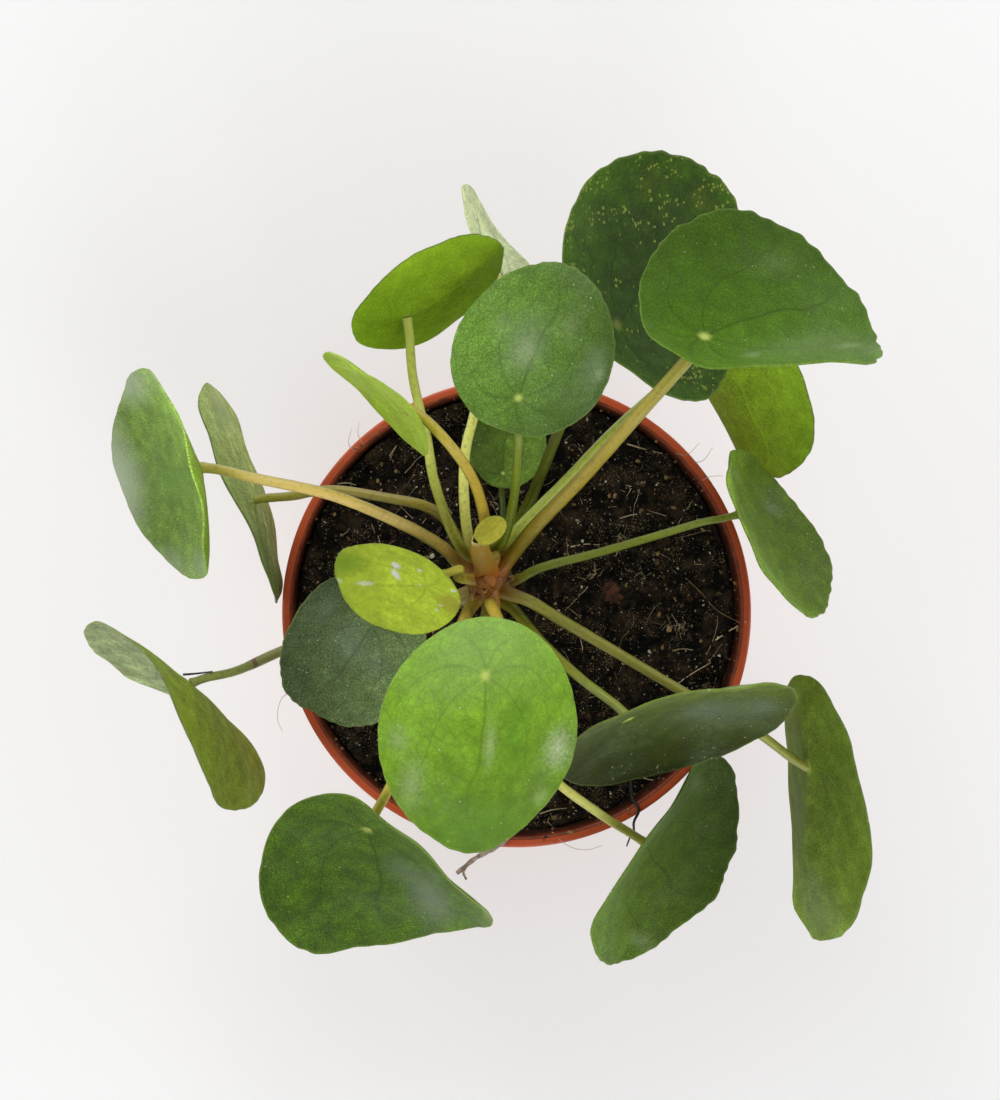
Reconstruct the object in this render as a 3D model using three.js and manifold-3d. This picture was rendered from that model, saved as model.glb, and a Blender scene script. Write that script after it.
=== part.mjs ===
// Potted pilea: a money plant with round leaves on long stalks, growing in a thin plastic nursery pot.
// Millimetres and degrees, +Z up, origin at the centre of the pot's base.
// Seen from above with +Y away from the viewer, +X is to the right.
// Turns in the level plane are counted anticlockwise from +X, seen from above.

import * as THREE from 'three';
import Module from 'manifold-3d';
import * as BufferGeometryUtils from 'three/addons/utils/BufferGeometryUtils.js';

const wasm = await Module();
wasm.setup();

// Room left between neighbouring pieces
const gap = 0.3;

// Pot
const potHeight = 105;
const rimRadius = 60;
const baseRadius = 42.5;
const wall = 1.1;
const lipWidth = 2.8;
const lipDepth = 8;
const lipWall = 1.2;
const lipRound = 0.7;
const lipCorner = 0.4;
const lipFillet = 1;
const footRingWidth = 5;
const centreDiscRadius = 23;
const channelDepth = 2;
const drainHoles = 8;
const drainHoleRadius = 3;
const drainHoleSides = 12;
const potSides = 48;

// Soil
const soilBelowRim = 7;
const soilRings = 7;
const soilTilt = 0.02;
const clodHeight = 0.8;
const soilSettled = 1;

// Trunk
const trunkFoot = new THREE.Vector3(-4.5, 5.5, 66);
const crownTop = new THREE.Vector3(-8, 9, 147);
const crownHeight = 143;
const trunkFootRadius = 6.2;
const trunkCrownRadius = 5;
const trunkTipRadius = 2.2;
const scarRelief = 0.3;
const scarSpacing = 6.5;
const trunkSides = 12;
const trunkSteps = 24;

// Blades and stalks
const bladeThickness = 0.8;
const bladeSectors = 24;
const bladeRings = 4;
const marginWave = 0.5;
const beakBreadth = 0.05;
const stalkSides = 8;
const stalkStepsPerPoint = 2;
const stalkMeetsBlade = 4;

// Colours, roughness
const terracottaPlastic = [0xa9482c, 0.45];
const peat = [0x2b1e17, 0.95];
const bark = [0x8a5230, 0.8];
const greenBlade = [0x4f7f33, 0.45];
const darkBlade = [0x35572f, 0.5];
const youngBlade = [0x9fc02e, 0.3];
const greenStalk = [0x6f8c3a, 0.5];
const amberStalk = [0xb08a3c, 0.5];

// Leaves
// at is the spot where the stalk meets the blade. heading, dip and roll turn the blade: heading is the way
// its tip points, dip is how far the tip hangs below level, and roll lifts its left half.
// foot is the share of the length that lies behind the spot. curl is the bend in degrees from the spot to
// the tip, the foot, the left and the right margin, where a positive bend cups the blade upwards.
// skew turns the lines it bends about, twist turns the tip end against the foot end, egg narrows the tip
// end, beak draws the tip out, and waves is how often the margin rises and falls.
// A stalk leaves the trunk at a turn and a height (from), passes the points via, and has a diameter at
// each end (thick).
const leaves = [
  {
    name: 'front', at: [-7.5, -12.5, 193], heading: -93, dip: 4, roll: -24,
    long: 54, wide: 48, foot: 0.25, egg: -0.03, beak: 0.03, waves: 5,
    curl: { tip: -12, foot: 1, left: 4, right: -38 }, skew: 13, twist: -5,
    from: { turn: -75, height: 138 }, thick: [3.6, 2.6], blade: greenBlade, stalk: amberStalk,
    via: [[-6.5, 3, 150], [-4.5, -1.5, 165], [-5.5, -7, 181]],
  },
  {
    name: 'lime', at: [-22, 7.5, 153], heading: 179, dip: 31, roll: -47,
    long: 33.5, wide: 30, foot: 0.25, egg: 0, beak: -0.02, waves: 4,
    curl: { tip: 23, foot: 2, left: 0, right: 0 }, skew: 51, twist: 6,
    from: { turn: 175, height: 142 }, thick: [2.6, 2], blade: youngBlade, stalk: amberStalk,
    via: [[-14, 11.5, 150.5], [-17, 10.5, 151.5]],
  },
  {
    name: 'low_left', at: [-36, -2.5, 127], heading: -124, dip: 23, roll: -5,
    long: 42, wide: 37, foot: 0.29, egg: 0.02, beak: -0.03, waves: 5,
    curl: { tip: 6, foot: -37, left: 32, right: 31 }, skew: 23, twist: 8,
    from: { turn: 200, height: 119 }, thick: [3, 2.2], blade: darkBlade, stalk: greenStalk,
    via: [[-19, 3, 124], [-28, 0, 124]],
  },
  {
    name: 'far_left', at: [-76, 35.5, 160], heading: 164, dip: 80, roll: -34,
    long: 62.5, wide: 54.5, foot: 0.22, egg: -0.02, beak: 0.03, waves: 7,
    curl: { tip: 41, foot: 11, left: 48, right: 16 }, skew: 42, twist: -8,
    from: { turn: 150, height: 133 }, thick: [3.8, 2.4], blade: greenBlade, stalk: amberStalk,
    via: [[-18.5, 17, 147], [-28, 22.5, 160], [-44, 29, 169], [-62, 33, 167]],
  },
  {
    name: 'left', at: [-66.5, 28.5, 121], heading: 94, dip: 71, roll: -101,
    long: 59, wide: 59, foot: 0.34, egg: 0, beak: -0.06, waves: 7,
    curl: { tip: 11, foot: -4, left: 5, right: 25 }, skew: -30, twist: -7,
    from: { turn: 140, height: 120 }, thick: [3.6, 2.2], blade: greenBlade, stalk: greenStalk,
    via: [
      [-15.5, 20, 125], [-18, 24, 128], [-23, 27, 132],
      [-32.5, 29, 131], [-46.5, 31, 128], [-56.5, 29.5, 124],
    ],
  },
  {
    name: 'left_low', at: [-82.5, -18, 119], heading: -48, dip: 74, roll: 88,
    long: 74.5, wide: 65.5, foot: 0.33, egg: 0.09, beak: 0, waves: 7,
    curl: { tip: 16, foot: 10, left: 51, right: 34 }, skew: -11, twist: -36,
    from: { turn: 215, height: 112 }, thick: [3.2, 2.2], blade: greenBlade, stalk: greenStalk,
    via: [[-19.5, 3, 113], [-32, -1, 112], [-45, -4.5, 111], [-59.5, -9.5, 111.5], [-71, -14.5, 115]],
  },
  {
    name: 'front_left', at: [-36.5, -52, 147], heading: -76, dip: 57, roll: 31,
    long: 65, wide: 61, foot: 0.23, egg: -0.13, beak: 0, waves: 7,
    curl: { tip: 4, foot: -8, left: 43, right: 47 }, skew: 13, twist: -21,
    from: { turn: 235, height: 127 }, thick: [3.6, 2.4], blade: greenBlade, stalk: greenStalk,
    via: [[-13, -1, 139], [-17.5, -11.5, 149], [-23.5, -24.5, 155], [-30, -39.5, 154]],
  },
  {
    name: 'front_right', at: [33, -58, 119], heading: -96, dip: 77, roll: -60,
    long: 66, wide: 60.5, foot: 0.29, egg: 0.1, beak: 0, waves: 7,
    curl: { tip: 45, foot: -7, left: 36, right: -7 }, skew: -55, twist: 8,
    from: { turn: 265, height: 117 }, thick: [3.4, 2.2], blade: darkBlade, stalk: greenStalk,
    via: [[-8, -4, 122], [-3.5, -21, 128], [7, -38.5, 130], [20.5, -49.5, 126]],
  },
  {
    name: 'dark_right', at: [26.5, -24.5, 159], heading: 15, dip: 38, roll: 75,
    long: 63.5, wide: 58.5, foot: 0.27, egg: 0.14, beak: 0, waves: 7,
    curl: { tip: 44, foot: 2, left: 19, right: 24 }, skew: -42, twist: -8,
    from: { turn: -50, height: 124 }, thick: [3.4, 2.2], blade: darkBlade, stalk: greenStalk,
    via: [[-0.5, 1, 128], [5.5, -6, 138], [16, -15.5, 152]],
  },
  {
    name: 'right_low', at: [74, -38.5, 115], heading: -92, dip: 28, roll: -113,
    long: 70, wide: 62, foot: 0.33, egg: -0.08, beak: -0.01, waves: 8,
    curl: { tip: -3, foot: 8, left: 33, right: 8 }, skew: -22, twist: -5,
    from: { turn: -30, height: 132 }, thick: [3.6, 2.2], blade: greenBlade, stalk: greenStalk,
    via: [[3, 3.5, 134], [10.5, -1, 134], [25, -9.5, 132], [41, -19, 127], [60, -29.5, 120]],
  },
  {
    name: 'right', at: [55, 25, 131], heading: -58, dip: 57, roll: -79,
    long: 49.5, wide: 47.5, foot: 0.23, egg: -0.13, beak: 0.05, waves: 6,
    curl: { tip: 46, foot: -1, left: 40, right: 13 }, skew: 24, twist: -10,
    from: { turn: 5, height: 121 }, thick: [2.8, 1.8], blade: darkBlade, stalk: greenStalk,
    via: [[5.5, 12, 126], [20, 15.5, 131], [35, 20, 134], [46, 23.5, 134]],
  },
  {
    name: 'top_right', at: [42.5, 65, 191], heading: 22, dip: 32, roll: -37,
    long: 61, wide: 57.5, foot: 0.24, egg: -0.06, beak: 0.02, waves: 9,
    curl: { tip: -11, foot: 20, left: 30, right: 54 }, skew: -22, twist: -9,
    from: { turn: 45, height: 136 }, thick: [4, 3], blade: greenBlade, stalk: amberStalk,
    via: [[4.5, 22, 155], [15.5, 33.5, 171], [26.5, 46, 183]],
  },
  {
    name: 'back_right', at: [24, 70, 157], heading: 57, dip: 46, roll: 26,
    long: 67, wide: 63, foot: 0.21, egg: 0.07, beak: 0.03, waves: 9,
    curl: { tip: 38, foot: 25, left: 16, right: 3 }, skew: 34, twist: 1,
    from: { turn: 75, height: 122 }, thick: [3.4, 2.4], blade: darkBlade, stalk: greenStalk,
    via: [[2, 26, 129], [6, 35, 139], [10, 45, 148], [16, 59, 155]],
  },
  {
    name: 'right_back', at: [53.5, 68.5, 107], heading: 114, dip: 155, roll: 54,
    long: 53.5, wide: 47, foot: 0.29, egg: -0.04, beak: 0.02, waves: 7,
    curl: { tip: -8, foot: -5, left: 33, right: -5 }, skew: -5, twist: 1,
    from: { turn: 60, height: 131 }, thick: [3.4, 2.4], blade: greenBlade, stalk: greenStalk,
    via: [
      [-3, 17.4, 135], [4.5, 25.5, 140], [12, 33, 143],
      [22.5, 44, 144], [34, 54.5, 138], [44.5, 63, 124],
    ],
  },
  {
    name: 'round_back', at: [0, 51.5, 177], heading: 68, dip: 15, roll: -14,
    long: 42.5, wide: 39, foot: 0.22, egg: 0.07, beak: 0.01, waves: 8,
    curl: { tip: 23, foot: 13, left: 9, right: 14 }, skew: -11, twist: -5,
    from: { turn: 85, height: 136 }, thick: [3, 2], blade: greenBlade, stalk: greenStalk,
    via: [[-3.5, 18.5, 145], [-1, 28, 157], [0, 39.5, 169]],
  },
  {
    name: 'back_left', at: [-26.5, 71.5, 163], heading: 27, dip: -3, roll: -120,
    long: 41.5, wide: 35.5, foot: 0.32, egg: -0.03, beak: 0.01, waves: 6,
    curl: { tip: 19, foot: 12, left: 19, right: 10 }, skew: -26, twist: 0,
    from: { turn: 125, height: 125 }, thick: [3.2, 2.2], blade: greenBlade, stalk: greenStalk,
    via: [[-15, 18.5, 135], [-20.2, 33, 149], [-21.7, 42.5, 155], [-25, 57.5, 161]],
  },
  {
    name: 'back', at: [-3, 84, 135], heading: 133, dip: 38, roll: 77,
    long: 38, wide: 30.5, foot: 0.27, egg: -0.05, beak: 0.03, waves: 5,
    curl: { tip: 46, foot: 1, left: 17, right: 24 }, skew: 15, twist: 24,
    from: { turn: 112, height: 131 }, thick: [3.2, 2.2], blade: greenBlade, stalk: amberStalk,
    via: [[-12, 19.5, 141], [-13, 30.5, 147], [-12.5, 40.5, 147], [-10.5, 49, 145], [-7.5, 65, 141]],
  },
  {
    name: 'arched', at: [-26, 48, 183], heading: 133, dip: 32, roll: -85,
    long: 35, wide: 33, foot: 0.27, egg: 0.11, beak: -0.01, waves: 4,
    curl: { tip: 22, foot: -4, left: 33, right: 19 }, skew: 40, twist: 0,
    from: { turn: 97, height: 141 }, thick: [3.4, 2.4], blade: youngBlade, stalk: amberStalk,
    via: [[-7.5, 19.5, 152], [-8.5, 26.5, 165], [-11, 33.5, 175], [-16, 40.5, 183]],
  },
  {
    name: 'low_back', at: [-3.5, 35.5, 111], heading: 88, dip: 30, roll: 16,
    long: 23, wide: 22, foot: 0.2, egg: -0.06, beak: 0, waves: 4,
    curl: { tip: -15, foot: 16, left: 23, right: 33 }, skew: 31, twist: 6,
    from: { turn: 70, height: 116 }, thick: [2, 1.6], blade: darkBlade, stalk: greenStalk,
    via: [[-4, 18.5, 114], [-3.5, 26, 112]],
  },
  {
    name: 'bud', at: [-9, 19, 163], heading: 36, dip: -20, roll: 0,
    long: 9, wide: 6, foot: 0.12, egg: 0, beak: 0, waves: 2,
    curl: { tip: 10, foot: 0, left: 30, right: 30 }, skew: 0, twist: 0,
    from: { turn: 65, height: 145 }, thick: [2.4, 1.8], blade: youngBlade, stalk: amberStalk,
    via: [[-7.2, 14, 151], [-8.6, 16.6, 158]],
  },
];

const up = new THREE.Vector3(0, 0, 1);
const fullTurn = 2 * Math.PI;
const inRadians = THREE.MathUtils.degToRad;

// Solids from triangles

function solidGeometry(positions, triangles) {
  const geometry = new THREE.BufferGeometry();
  geometry.setAttribute('position', new THREE.Float32BufferAttribute(positions, 3));
  geometry.setIndex(triangles);
  return geometry;
}

// Merges shared corners and drops triangles that have shrunk to a line at a pole.
function joined(geometry) {
  geometry.deleteAttribute('normal');
  geometry.deleteAttribute('uv');
  const merged = BufferGeometryUtils.mergeVertices(geometry, 1e-4);
  const corners = merged.index.array;
  const kept = [];
  for (let i = 0; i < corners.length; i += 3) {
    const [a, b, c] = [corners[i], corners[i + 1], corners[i + 2]];
    if (a !== b && b !== c && c !== a) {
      kept.push(a, b, c);
    }
  }
  merged.setIndex(kept);
  return merged;
}

function toManifold(geometry) {
  const merged = joined(geometry);
  return new wasm.Manifold(new wasm.Mesh({
    numProp: 3,
    vertProperties: new Float32Array(merged.attributes.position.array),
    triVerts: new Uint32Array(merged.index.array),
  }));
}

function fromManifold(solid) {
  const mesh = solid.getMesh();
  return solidGeometry(Array.from(mesh.vertProperties), Array.from(mesh.triVerts));
}

function piece(name, geometry, [color, roughness]) {
  geometry.computeVertexNormals();
  const material = new THREE.MeshStandardMaterial({ color, roughness, metalness: 0 });
  const mesh = new THREE.Mesh(geometry, material);
  mesh.name = name;
  return mesh;
}

// A round bar along a path, closed at both ends. radiusAt gives its radius from 0 at the start to 1 at the
// end, and at each turn about the path.
function barAlong(path, radiusAt, sides, steps) {
  const frames = path.computeFrenetFrames(steps, false);
  const positions = [];
  const triangles = [];
  for (let step = 0; step <= steps; step += 1) {
    const share = step / steps;
    const centre = path.getPointAt(share);
    for (let side = 0; side < sides; side += 1) {
      const turn = fullTurn * side / sides;
      const radius = radiusAt(share, turn);
      const corner = centre.clone()
        .addScaledVector(frames.normals[step], radius * Math.cos(turn))
        .addScaledVector(frames.binormals[step], radius * Math.sin(turn));
      positions.push(corner.x, corner.y, corner.z);
    }
  }
  for (let step = 0; step < steps; step += 1) {
    for (let side = 0; side < sides; side += 1) {
      const a = step * sides + side;
      const b = step * sides + (side + 1) % sides;
      triangles.push(a, b, b + sides, a, b + sides, a + sides);
    }
  }
  const last = steps * sides;
  for (let side = 1; side < sides - 1; side += 1) {
    triangles.push(0, side + 1, side);
    triangles.push(last, last + side, last + side + 1);
  }
  return solidGeometry(positions, triangles);
}

// Pot: a tapered cup whose wall keeps one thickness, with a hanging lip and a raised ring channel
// underneath that takes the drain holes.

const bodyTopRadius = rimRadius - lipWidth + wall;

function outerRadiusAt(height) {
  return THREE.MathUtils.lerp(baseRadius, bodyTopRadius, height / potHeight);
}

function innerRadiusAt(height) {
  return outerRadiusAt(height) - wall;
}

const channelInside = centreDiscRadius + channelDepth;
const channelOutside = baseRadius - footRingWidth - channelDepth;
const floorHeight = channelDepth + wall;

function potProfile() {
  const underLip = potHeight - lipWall;
  const lipBottom = potHeight - lipDepth;
  const mouth = rimRadius - lipWidth;
  return [
    [0, 0],
    [centreDiscRadius, 0],
    [channelInside, channelDepth],
    [channelOutside, channelDepth],
    [baseRadius - footRingWidth, 0],
    [baseRadius - wall / 2, 0],
    [outerRadiusAt(wall), wall],
    [outerRadiusAt(underLip - lipFillet), underLip - lipFillet],
    [outerRadiusAt(underLip) + lipCorner / 2, underLip],
    [rimRadius - lipWall, underLip - lipCorner],
    [rimRadius - lipWall, lipBottom],
    [rimRadius, lipBottom],
    [rimRadius, potHeight - lipRound],
    [rimRadius - lipRound, potHeight],
    [mouth + lipRound, potHeight],
    [mouth, potHeight - lipRound],
    [innerRadiusAt(floorHeight + wall), floorHeight + wall],
    [innerRadiusAt(floorHeight) - wall, floorHeight],
    [channelInside - wall, floorHeight],
    [channelInside - wall - channelDepth, wall],
    [0, wall],
  ].map(([radius, height]) => new THREE.Vector2(radius, height));
}

function drainHole(turn) {
  const hole = new THREE.CylinderGeometry(drainHoleRadius, drainHoleRadius, 4 * floorHeight, drainHoleSides);
  hole.rotateX(Math.PI / 2);
  const distance = (channelInside + channelOutside) / 2;
  hole.translate(distance * Math.cos(turn), distance * Math.sin(turn), 0);
  return toManifold(hole);
}

function pot() {
  const cup = new THREE.LatheGeometry(potProfile(), potSides);
  cup.rotateX(Math.PI / 2);
  let solid = toManifold(cup);
  for (let hole = 0; hole < drainHoles; hole += 1) {
    solid = solid.subtract(drainHole(fullTurn * (hole + 0.5) / drainHoles));
  }
  return piece('pot', fromManifold(solid), terracottaPlastic);
}

// Trunk: a short leaning stem whose radius swells and narrows with the scars of fallen leaves.

function trunkCentreAt(height) {
  const share = (height - trunkFoot.z) / (crownTop.z - trunkFoot.z);
  return trunkFoot.clone().lerp(crownTop, share);
}

function trunkRadiusAt(height) {
  const share = (height - trunkFoot.z) / (crownHeight - trunkFoot.z);
  return THREE.MathUtils.lerp(trunkFootRadius, trunkCrownRadius, Math.min(share, 1));
}

function trunk() {
  const path = new THREE.LineCurve3(trunkFoot, crownTop);
  const radiusAt = (share, turn) => {
    const height = THREE.MathUtils.lerp(trunkFoot.z, crownTop.z, share);
    const scars = scarRelief * Math.sin(fullTurn * height / scarSpacing + turn);
    if (height <= crownHeight) {
      return trunkRadiusAt(height) - scarRelief + scars;
    }
    const top = (height - crownHeight) / (crownTop.z - crownHeight);
    return THREE.MathUtils.lerp(trunkCrownRadius - scarRelief, trunkTipRadius, top);
  };
  return piece('trunk', barAlong(path, radiusAt, trunkSides, trunkSteps), bark);
}

// Soil: fills the pot, with an uneven top and a plain hole for the trunk.

function soilTopAt(x, y) {
  const slope = soilTilt * (y - x);
  const clods = Math.sin(0.21 * x + 1.3) * Math.cos(0.17 * y - 0.6) + 0.6 * Math.sin(0.11 * x - 0.31 * y);
  return potHeight - soilBelowRim + slope + clodHeight * clods;
}

function soil() {
  const bottom = floorHeight + gap;
  const top = potHeight - soilBelowRim;
  const positions = [0, 0, soilTopAt(0, 0)];
  const triangles = [];
  for (let ring = 1; ring <= soilRings; ring += 1) {
    for (let side = 0; side < potSides; side += 1) {
      const turn = fullTurn * side / potSides;
      const radius = (innerRadiusAt(top) - gap) * ring / soilRings;
      const x = radius * Math.cos(turn);
      const y = radius * Math.sin(turn);
      const height = ring === soilRings ? top - soilSettled : soilTopAt(x, y);
      positions.push(x, y, height);
    }
  }
  for (let side = 0; side < potSides; side += 1) {
    const turn = fullTurn * side / potSides;
    const radius = innerRadiusAt(bottom) - wall - 2 * gap;
    positions.push(radius * Math.cos(turn), radius * Math.sin(turn), bottom);
  }
  positions.push(0, 0, bottom);
  const underneath = positions.length / 3 - 1;
  for (let side = 0; side < potSides; side += 1) {
    const next = (side + 1) % potSides;
    triangles.push(0, 1 + side, 1 + next);
    for (let ring = 0; ring < soilRings; ring += 1) {
      const inner = 1 + ring * potSides;
      const outer = inner + potSides;
      triangles.push(inner + side, outer + side, outer + next);
      triangles.push(inner + side, outer + next, inner + next);
    }
    const lowest = 1 + soilRings * potSides;
    triangles.push(underneath, lowest + next, lowest + side);
  }
  const socketPath = new THREE.LineCurve3(trunkCentreAt(trunkFoot.z - gap), trunkCentreAt(potHeight));
  const socketRadius = trunkFootRadius + gap;
  const socket = toManifold(barAlong(socketPath, () => socketRadius, trunkSides, 1));
  const solid = toManifold(solidGeometry(positions, triangles)).subtract(socket);
  return piece('soil', fromManifold(solid), peat);
}

// Blade: an egg-round disc about the stalk's spot, bent across and along, with a waved margin. Both faces
// are split into the same triangles.

function bent(distance, degrees, reach) {
  const perMillimetre = inRadians(degrees) / reach || 1e-6;
  const slope = perMillimetre * distance;
  return {
    run: Math.sin(slope) / perMillimetre,
    rise: (1 - Math.cos(slope)) / perMillimetre,
    slope,
  };
}

function bladePoint(leaf, share, turn) {
  const centre = leaf.long * (0.5 - leaf.foot);
  const tip = leaf.beak * leaf.long * Math.exp((Math.cos(turn) - 1) / beakBreadth);
  const flatX = share * (centre + 0.5 * leaf.long * Math.cos(turn) + tip);
  const flatY = share * 0.5 * leaf.wide * Math.sin(turn) * (1 - leaf.egg * Math.cos(turn));
  const skew = inRadians(leaf.skew);
  const alongLine = flatX * Math.cos(skew) + flatY * Math.sin(skew);
  const acrossLine = -flatX * Math.sin(skew) + flatY * Math.cos(skew);
  const forward = alongLine > 0;
  const along = bent(alongLine, forward ? leaf.curl.tip : leaf.curl.foot,
    leaf.long * (forward ? 1 - leaf.foot : leaf.foot));
  const across = bent(acrossLine, acrossLine > 0 ? leaf.curl.left : leaf.curl.right, leaf.wide / 2);
  const twist = inRadians(leaf.twist) * alongLine / leaf.long;
  const lift = across.run * Math.sin(twist) + across.rise * Math.cos(twist)
    + marginWave * share ** 4 * Math.sin(leaf.waves * turn + leaf.skew);
  const side = across.run * Math.cos(twist) - across.rise * Math.sin(twist);
  const run = along.run - Math.sin(along.slope) * lift;
  return new THREE.Vector3(
    run * Math.cos(skew) - side * Math.sin(skew),
    run * Math.sin(skew) + side * Math.cos(skew),
    along.rise + Math.cos(along.slope) * lift,
  );
}

function bladeMiddle(leaf) {
  const positions = [0, 0, 0];
  const triangles = [];
  for (let ring = 1; ring <= bladeRings; ring += 1) {
    for (let sector = 0; sector < bladeSectors; sector += 1) {
      positions.push(...bladePoint(leaf, ring / bladeRings, fullTurn * sector / bladeSectors));
    }
  }
  for (let sector = 0; sector < bladeSectors; sector += 1) {
    const next = (sector + 1) % bladeSectors;
    triangles.push(0, 1 + sector, 1 + next);
    for (let ring = 1; ring < bladeRings; ring += 1) {
      const inner = 1 + (ring - 1) * bladeSectors;
      const outer = inner + bladeSectors;
      triangles.push(inner + sector, outer + sector, outer + next);
      triangles.push(inner + sector, outer + next, inner + next);
    }
  }
  const middle = solidGeometry(positions, triangles);
  middle.computeVertexNormals();
  return middle;
}

function bladeSolid(leaf) {
  const middle = bladeMiddle(leaf);
  const points = middle.attributes.position;
  const normals = middle.attributes.normal;
  const corners = middle.index.array;
  const positions = [];
  for (const face of [1, -1]) {
    for (let i = 0; i < points.count; i += 1) {
      const offset = face * bladeThickness / 2;
      positions.push(points.getX(i) + offset * normals.getX(i));
      positions.push(points.getY(i) + offset * normals.getY(i));
      positions.push(points.getZ(i) + offset * normals.getZ(i));
    }
  }
  const triangles = Array.from(corners);
  for (let i = 0; i < corners.length; i += 3) {
    triangles.push(corners[i] + points.count, corners[i + 2] + points.count, corners[i + 1] + points.count);
  }
  const margin = points.count - bladeSectors;
  for (let sector = 0; sector < bladeSectors; sector += 1) {
    const a = margin + sector;
    const b = margin + (sector + 1) % bladeSectors;
    triangles.push(a + points.count, b + points.count, b);
    triangles.push(a + points.count, b, a);
  }
  return solidGeometry(positions, triangles);
}

function blade(leaf) {
  const mesh = piece(`leaf_${leaf.name}`, bladeSolid(leaf), leaf.blade);
  mesh.position.set(...leaf.at);
  mesh.rotation.set(inRadians(leaf.roll), inRadians(leaf.dip), inRadians(leaf.heading), 'ZYX');
  return mesh;
}

// Stalk: a tapering bar from the trunk's side to the underside of its blade. Both of its ends are cut
// square, so they stand off by as much as their slant needs.

function standOff(direction, normal, diameter) {
  const slant = Math.sqrt(1 - direction.dot(normal) ** 2);
  return gap + slant * diameter / 2;
}

function stalkPath(leaf, bladeTurn) {
  const waypoints = leaf.via.map((point) => new THREE.Vector3(...point));
  const axis = trunkCentreAt(leaf.from.height);
  const away = new THREE.Vector3(Math.cos(inRadians(leaf.from.turn)), Math.sin(inRadians(leaf.from.turn)), 0);
  const setOff = waypoints[0].clone().sub(axis).normalize();
  const barkSide = trunkRadiusAt(leaf.from.height) + gap / 2;
  const start = axis.addScaledVector(away, barkSide + standOff(setOff, away, leaf.thick[0]));
  const normal = up.clone().applyEuler(bladeTurn);
  const spot = new THREE.Vector3(...leaf.at);
  const arrival = spot.clone().sub(waypoints.at(-1)).normalize().add(normal).normalize();
  const underside = bladeThickness / 2;
  const end = spot.clone().addScaledVector(normal, -underside - standOff(arrival, normal, leaf.thick[1]));
  const approach = end.clone().addScaledVector(arrival, -stalkMeetsBlade);
  return new THREE.CatmullRomCurve3([start, ...waypoints, approach, end]);
}

function stalk(leaf, bladeTurn) {
  const path = stalkPath(leaf, bladeTurn);
  const steps = stalkStepsPerPoint * (leaf.via.length + 2);
  const radiusAt = (share) => THREE.MathUtils.lerp(leaf.thick[0], leaf.thick[1], Math.sqrt(share)) / 2;
  return piece(`stalk_${leaf.name}`, barAlong(path, radiusAt, stalkSides, steps), leaf.stalk);
}

const plant = new THREE.Group();
plant.add(pot(), soil(), trunk());
for (const leaf of leaves) {
  const leafBlade = blade(leaf);
  plant.add(leafBlade, stalk(leaf, leafBlade.rotation));
}

export default plant;
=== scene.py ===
"""A potted pilea: round leaves on long stalks around a short trunk, in a thin plastic nursery pot.

Sizes are in millimetres and degrees, in the frame of the solids: +Z up, origin under the pot's middle.
"""

import math
import random

import bpy
import numpy as np
from bpy.props import FloatProperty, FloatVectorProperty, IntProperty, PointerProperty
from mathutils import Euler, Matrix, Vector, kdtree, noise


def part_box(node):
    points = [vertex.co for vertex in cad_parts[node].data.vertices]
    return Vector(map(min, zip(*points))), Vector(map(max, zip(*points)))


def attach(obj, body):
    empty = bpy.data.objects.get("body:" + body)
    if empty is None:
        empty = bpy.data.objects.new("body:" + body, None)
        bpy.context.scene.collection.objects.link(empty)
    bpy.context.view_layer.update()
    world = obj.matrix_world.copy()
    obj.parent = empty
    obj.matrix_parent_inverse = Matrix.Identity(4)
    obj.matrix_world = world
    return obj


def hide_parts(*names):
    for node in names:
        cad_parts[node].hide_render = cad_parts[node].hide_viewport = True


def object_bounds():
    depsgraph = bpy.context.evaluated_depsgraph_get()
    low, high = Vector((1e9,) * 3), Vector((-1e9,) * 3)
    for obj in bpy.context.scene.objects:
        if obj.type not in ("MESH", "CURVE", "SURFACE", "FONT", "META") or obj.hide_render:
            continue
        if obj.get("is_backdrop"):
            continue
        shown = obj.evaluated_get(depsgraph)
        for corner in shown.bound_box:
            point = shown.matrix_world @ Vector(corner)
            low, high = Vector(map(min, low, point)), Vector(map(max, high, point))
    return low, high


bl_info = {
    "name": "Potted pilea",
    "version": (1, 0, 0),
    "blender": (4, 5, 0),
    "location": "View3D > Sidebar > Pilea",
    "description": "Dresses the solids of a potted pilea in leaf, stalk, bark, soil and plastic",
    "category": "Object",
}

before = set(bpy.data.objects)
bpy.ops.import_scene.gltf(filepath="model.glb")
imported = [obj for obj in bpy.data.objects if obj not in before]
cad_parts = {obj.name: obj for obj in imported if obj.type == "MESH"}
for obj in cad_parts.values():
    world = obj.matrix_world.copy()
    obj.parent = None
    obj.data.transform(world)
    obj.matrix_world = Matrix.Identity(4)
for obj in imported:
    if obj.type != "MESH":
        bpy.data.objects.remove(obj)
cad_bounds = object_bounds()

MM = 0.001
POT_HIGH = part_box("pot")[1]
RIM_RADIUS = POT_HIGH[0] / MM
POT_HEIGHT = POT_HIGH[2] / MM

# Pot, as its solid stands
BASE_RADIUS = 42.5
WALL = 1.1
LIP_WIDTH = 2.8
LIP_DEPTH = 8
LIP_WALL = 1.2
SOIL_BELOW_RIM = 7

# Trunk, as its solid stands
TRUNK_FOOT = Vector((-4.5, 5.5, 66))
CROWN_TOP = Vector((-8, 9, 147))
CROWN_HEIGHT = 143
TRUNK_FOOT_RADIUS = 6.2
TRUNK_CROWN_RADIUS = 5

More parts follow.
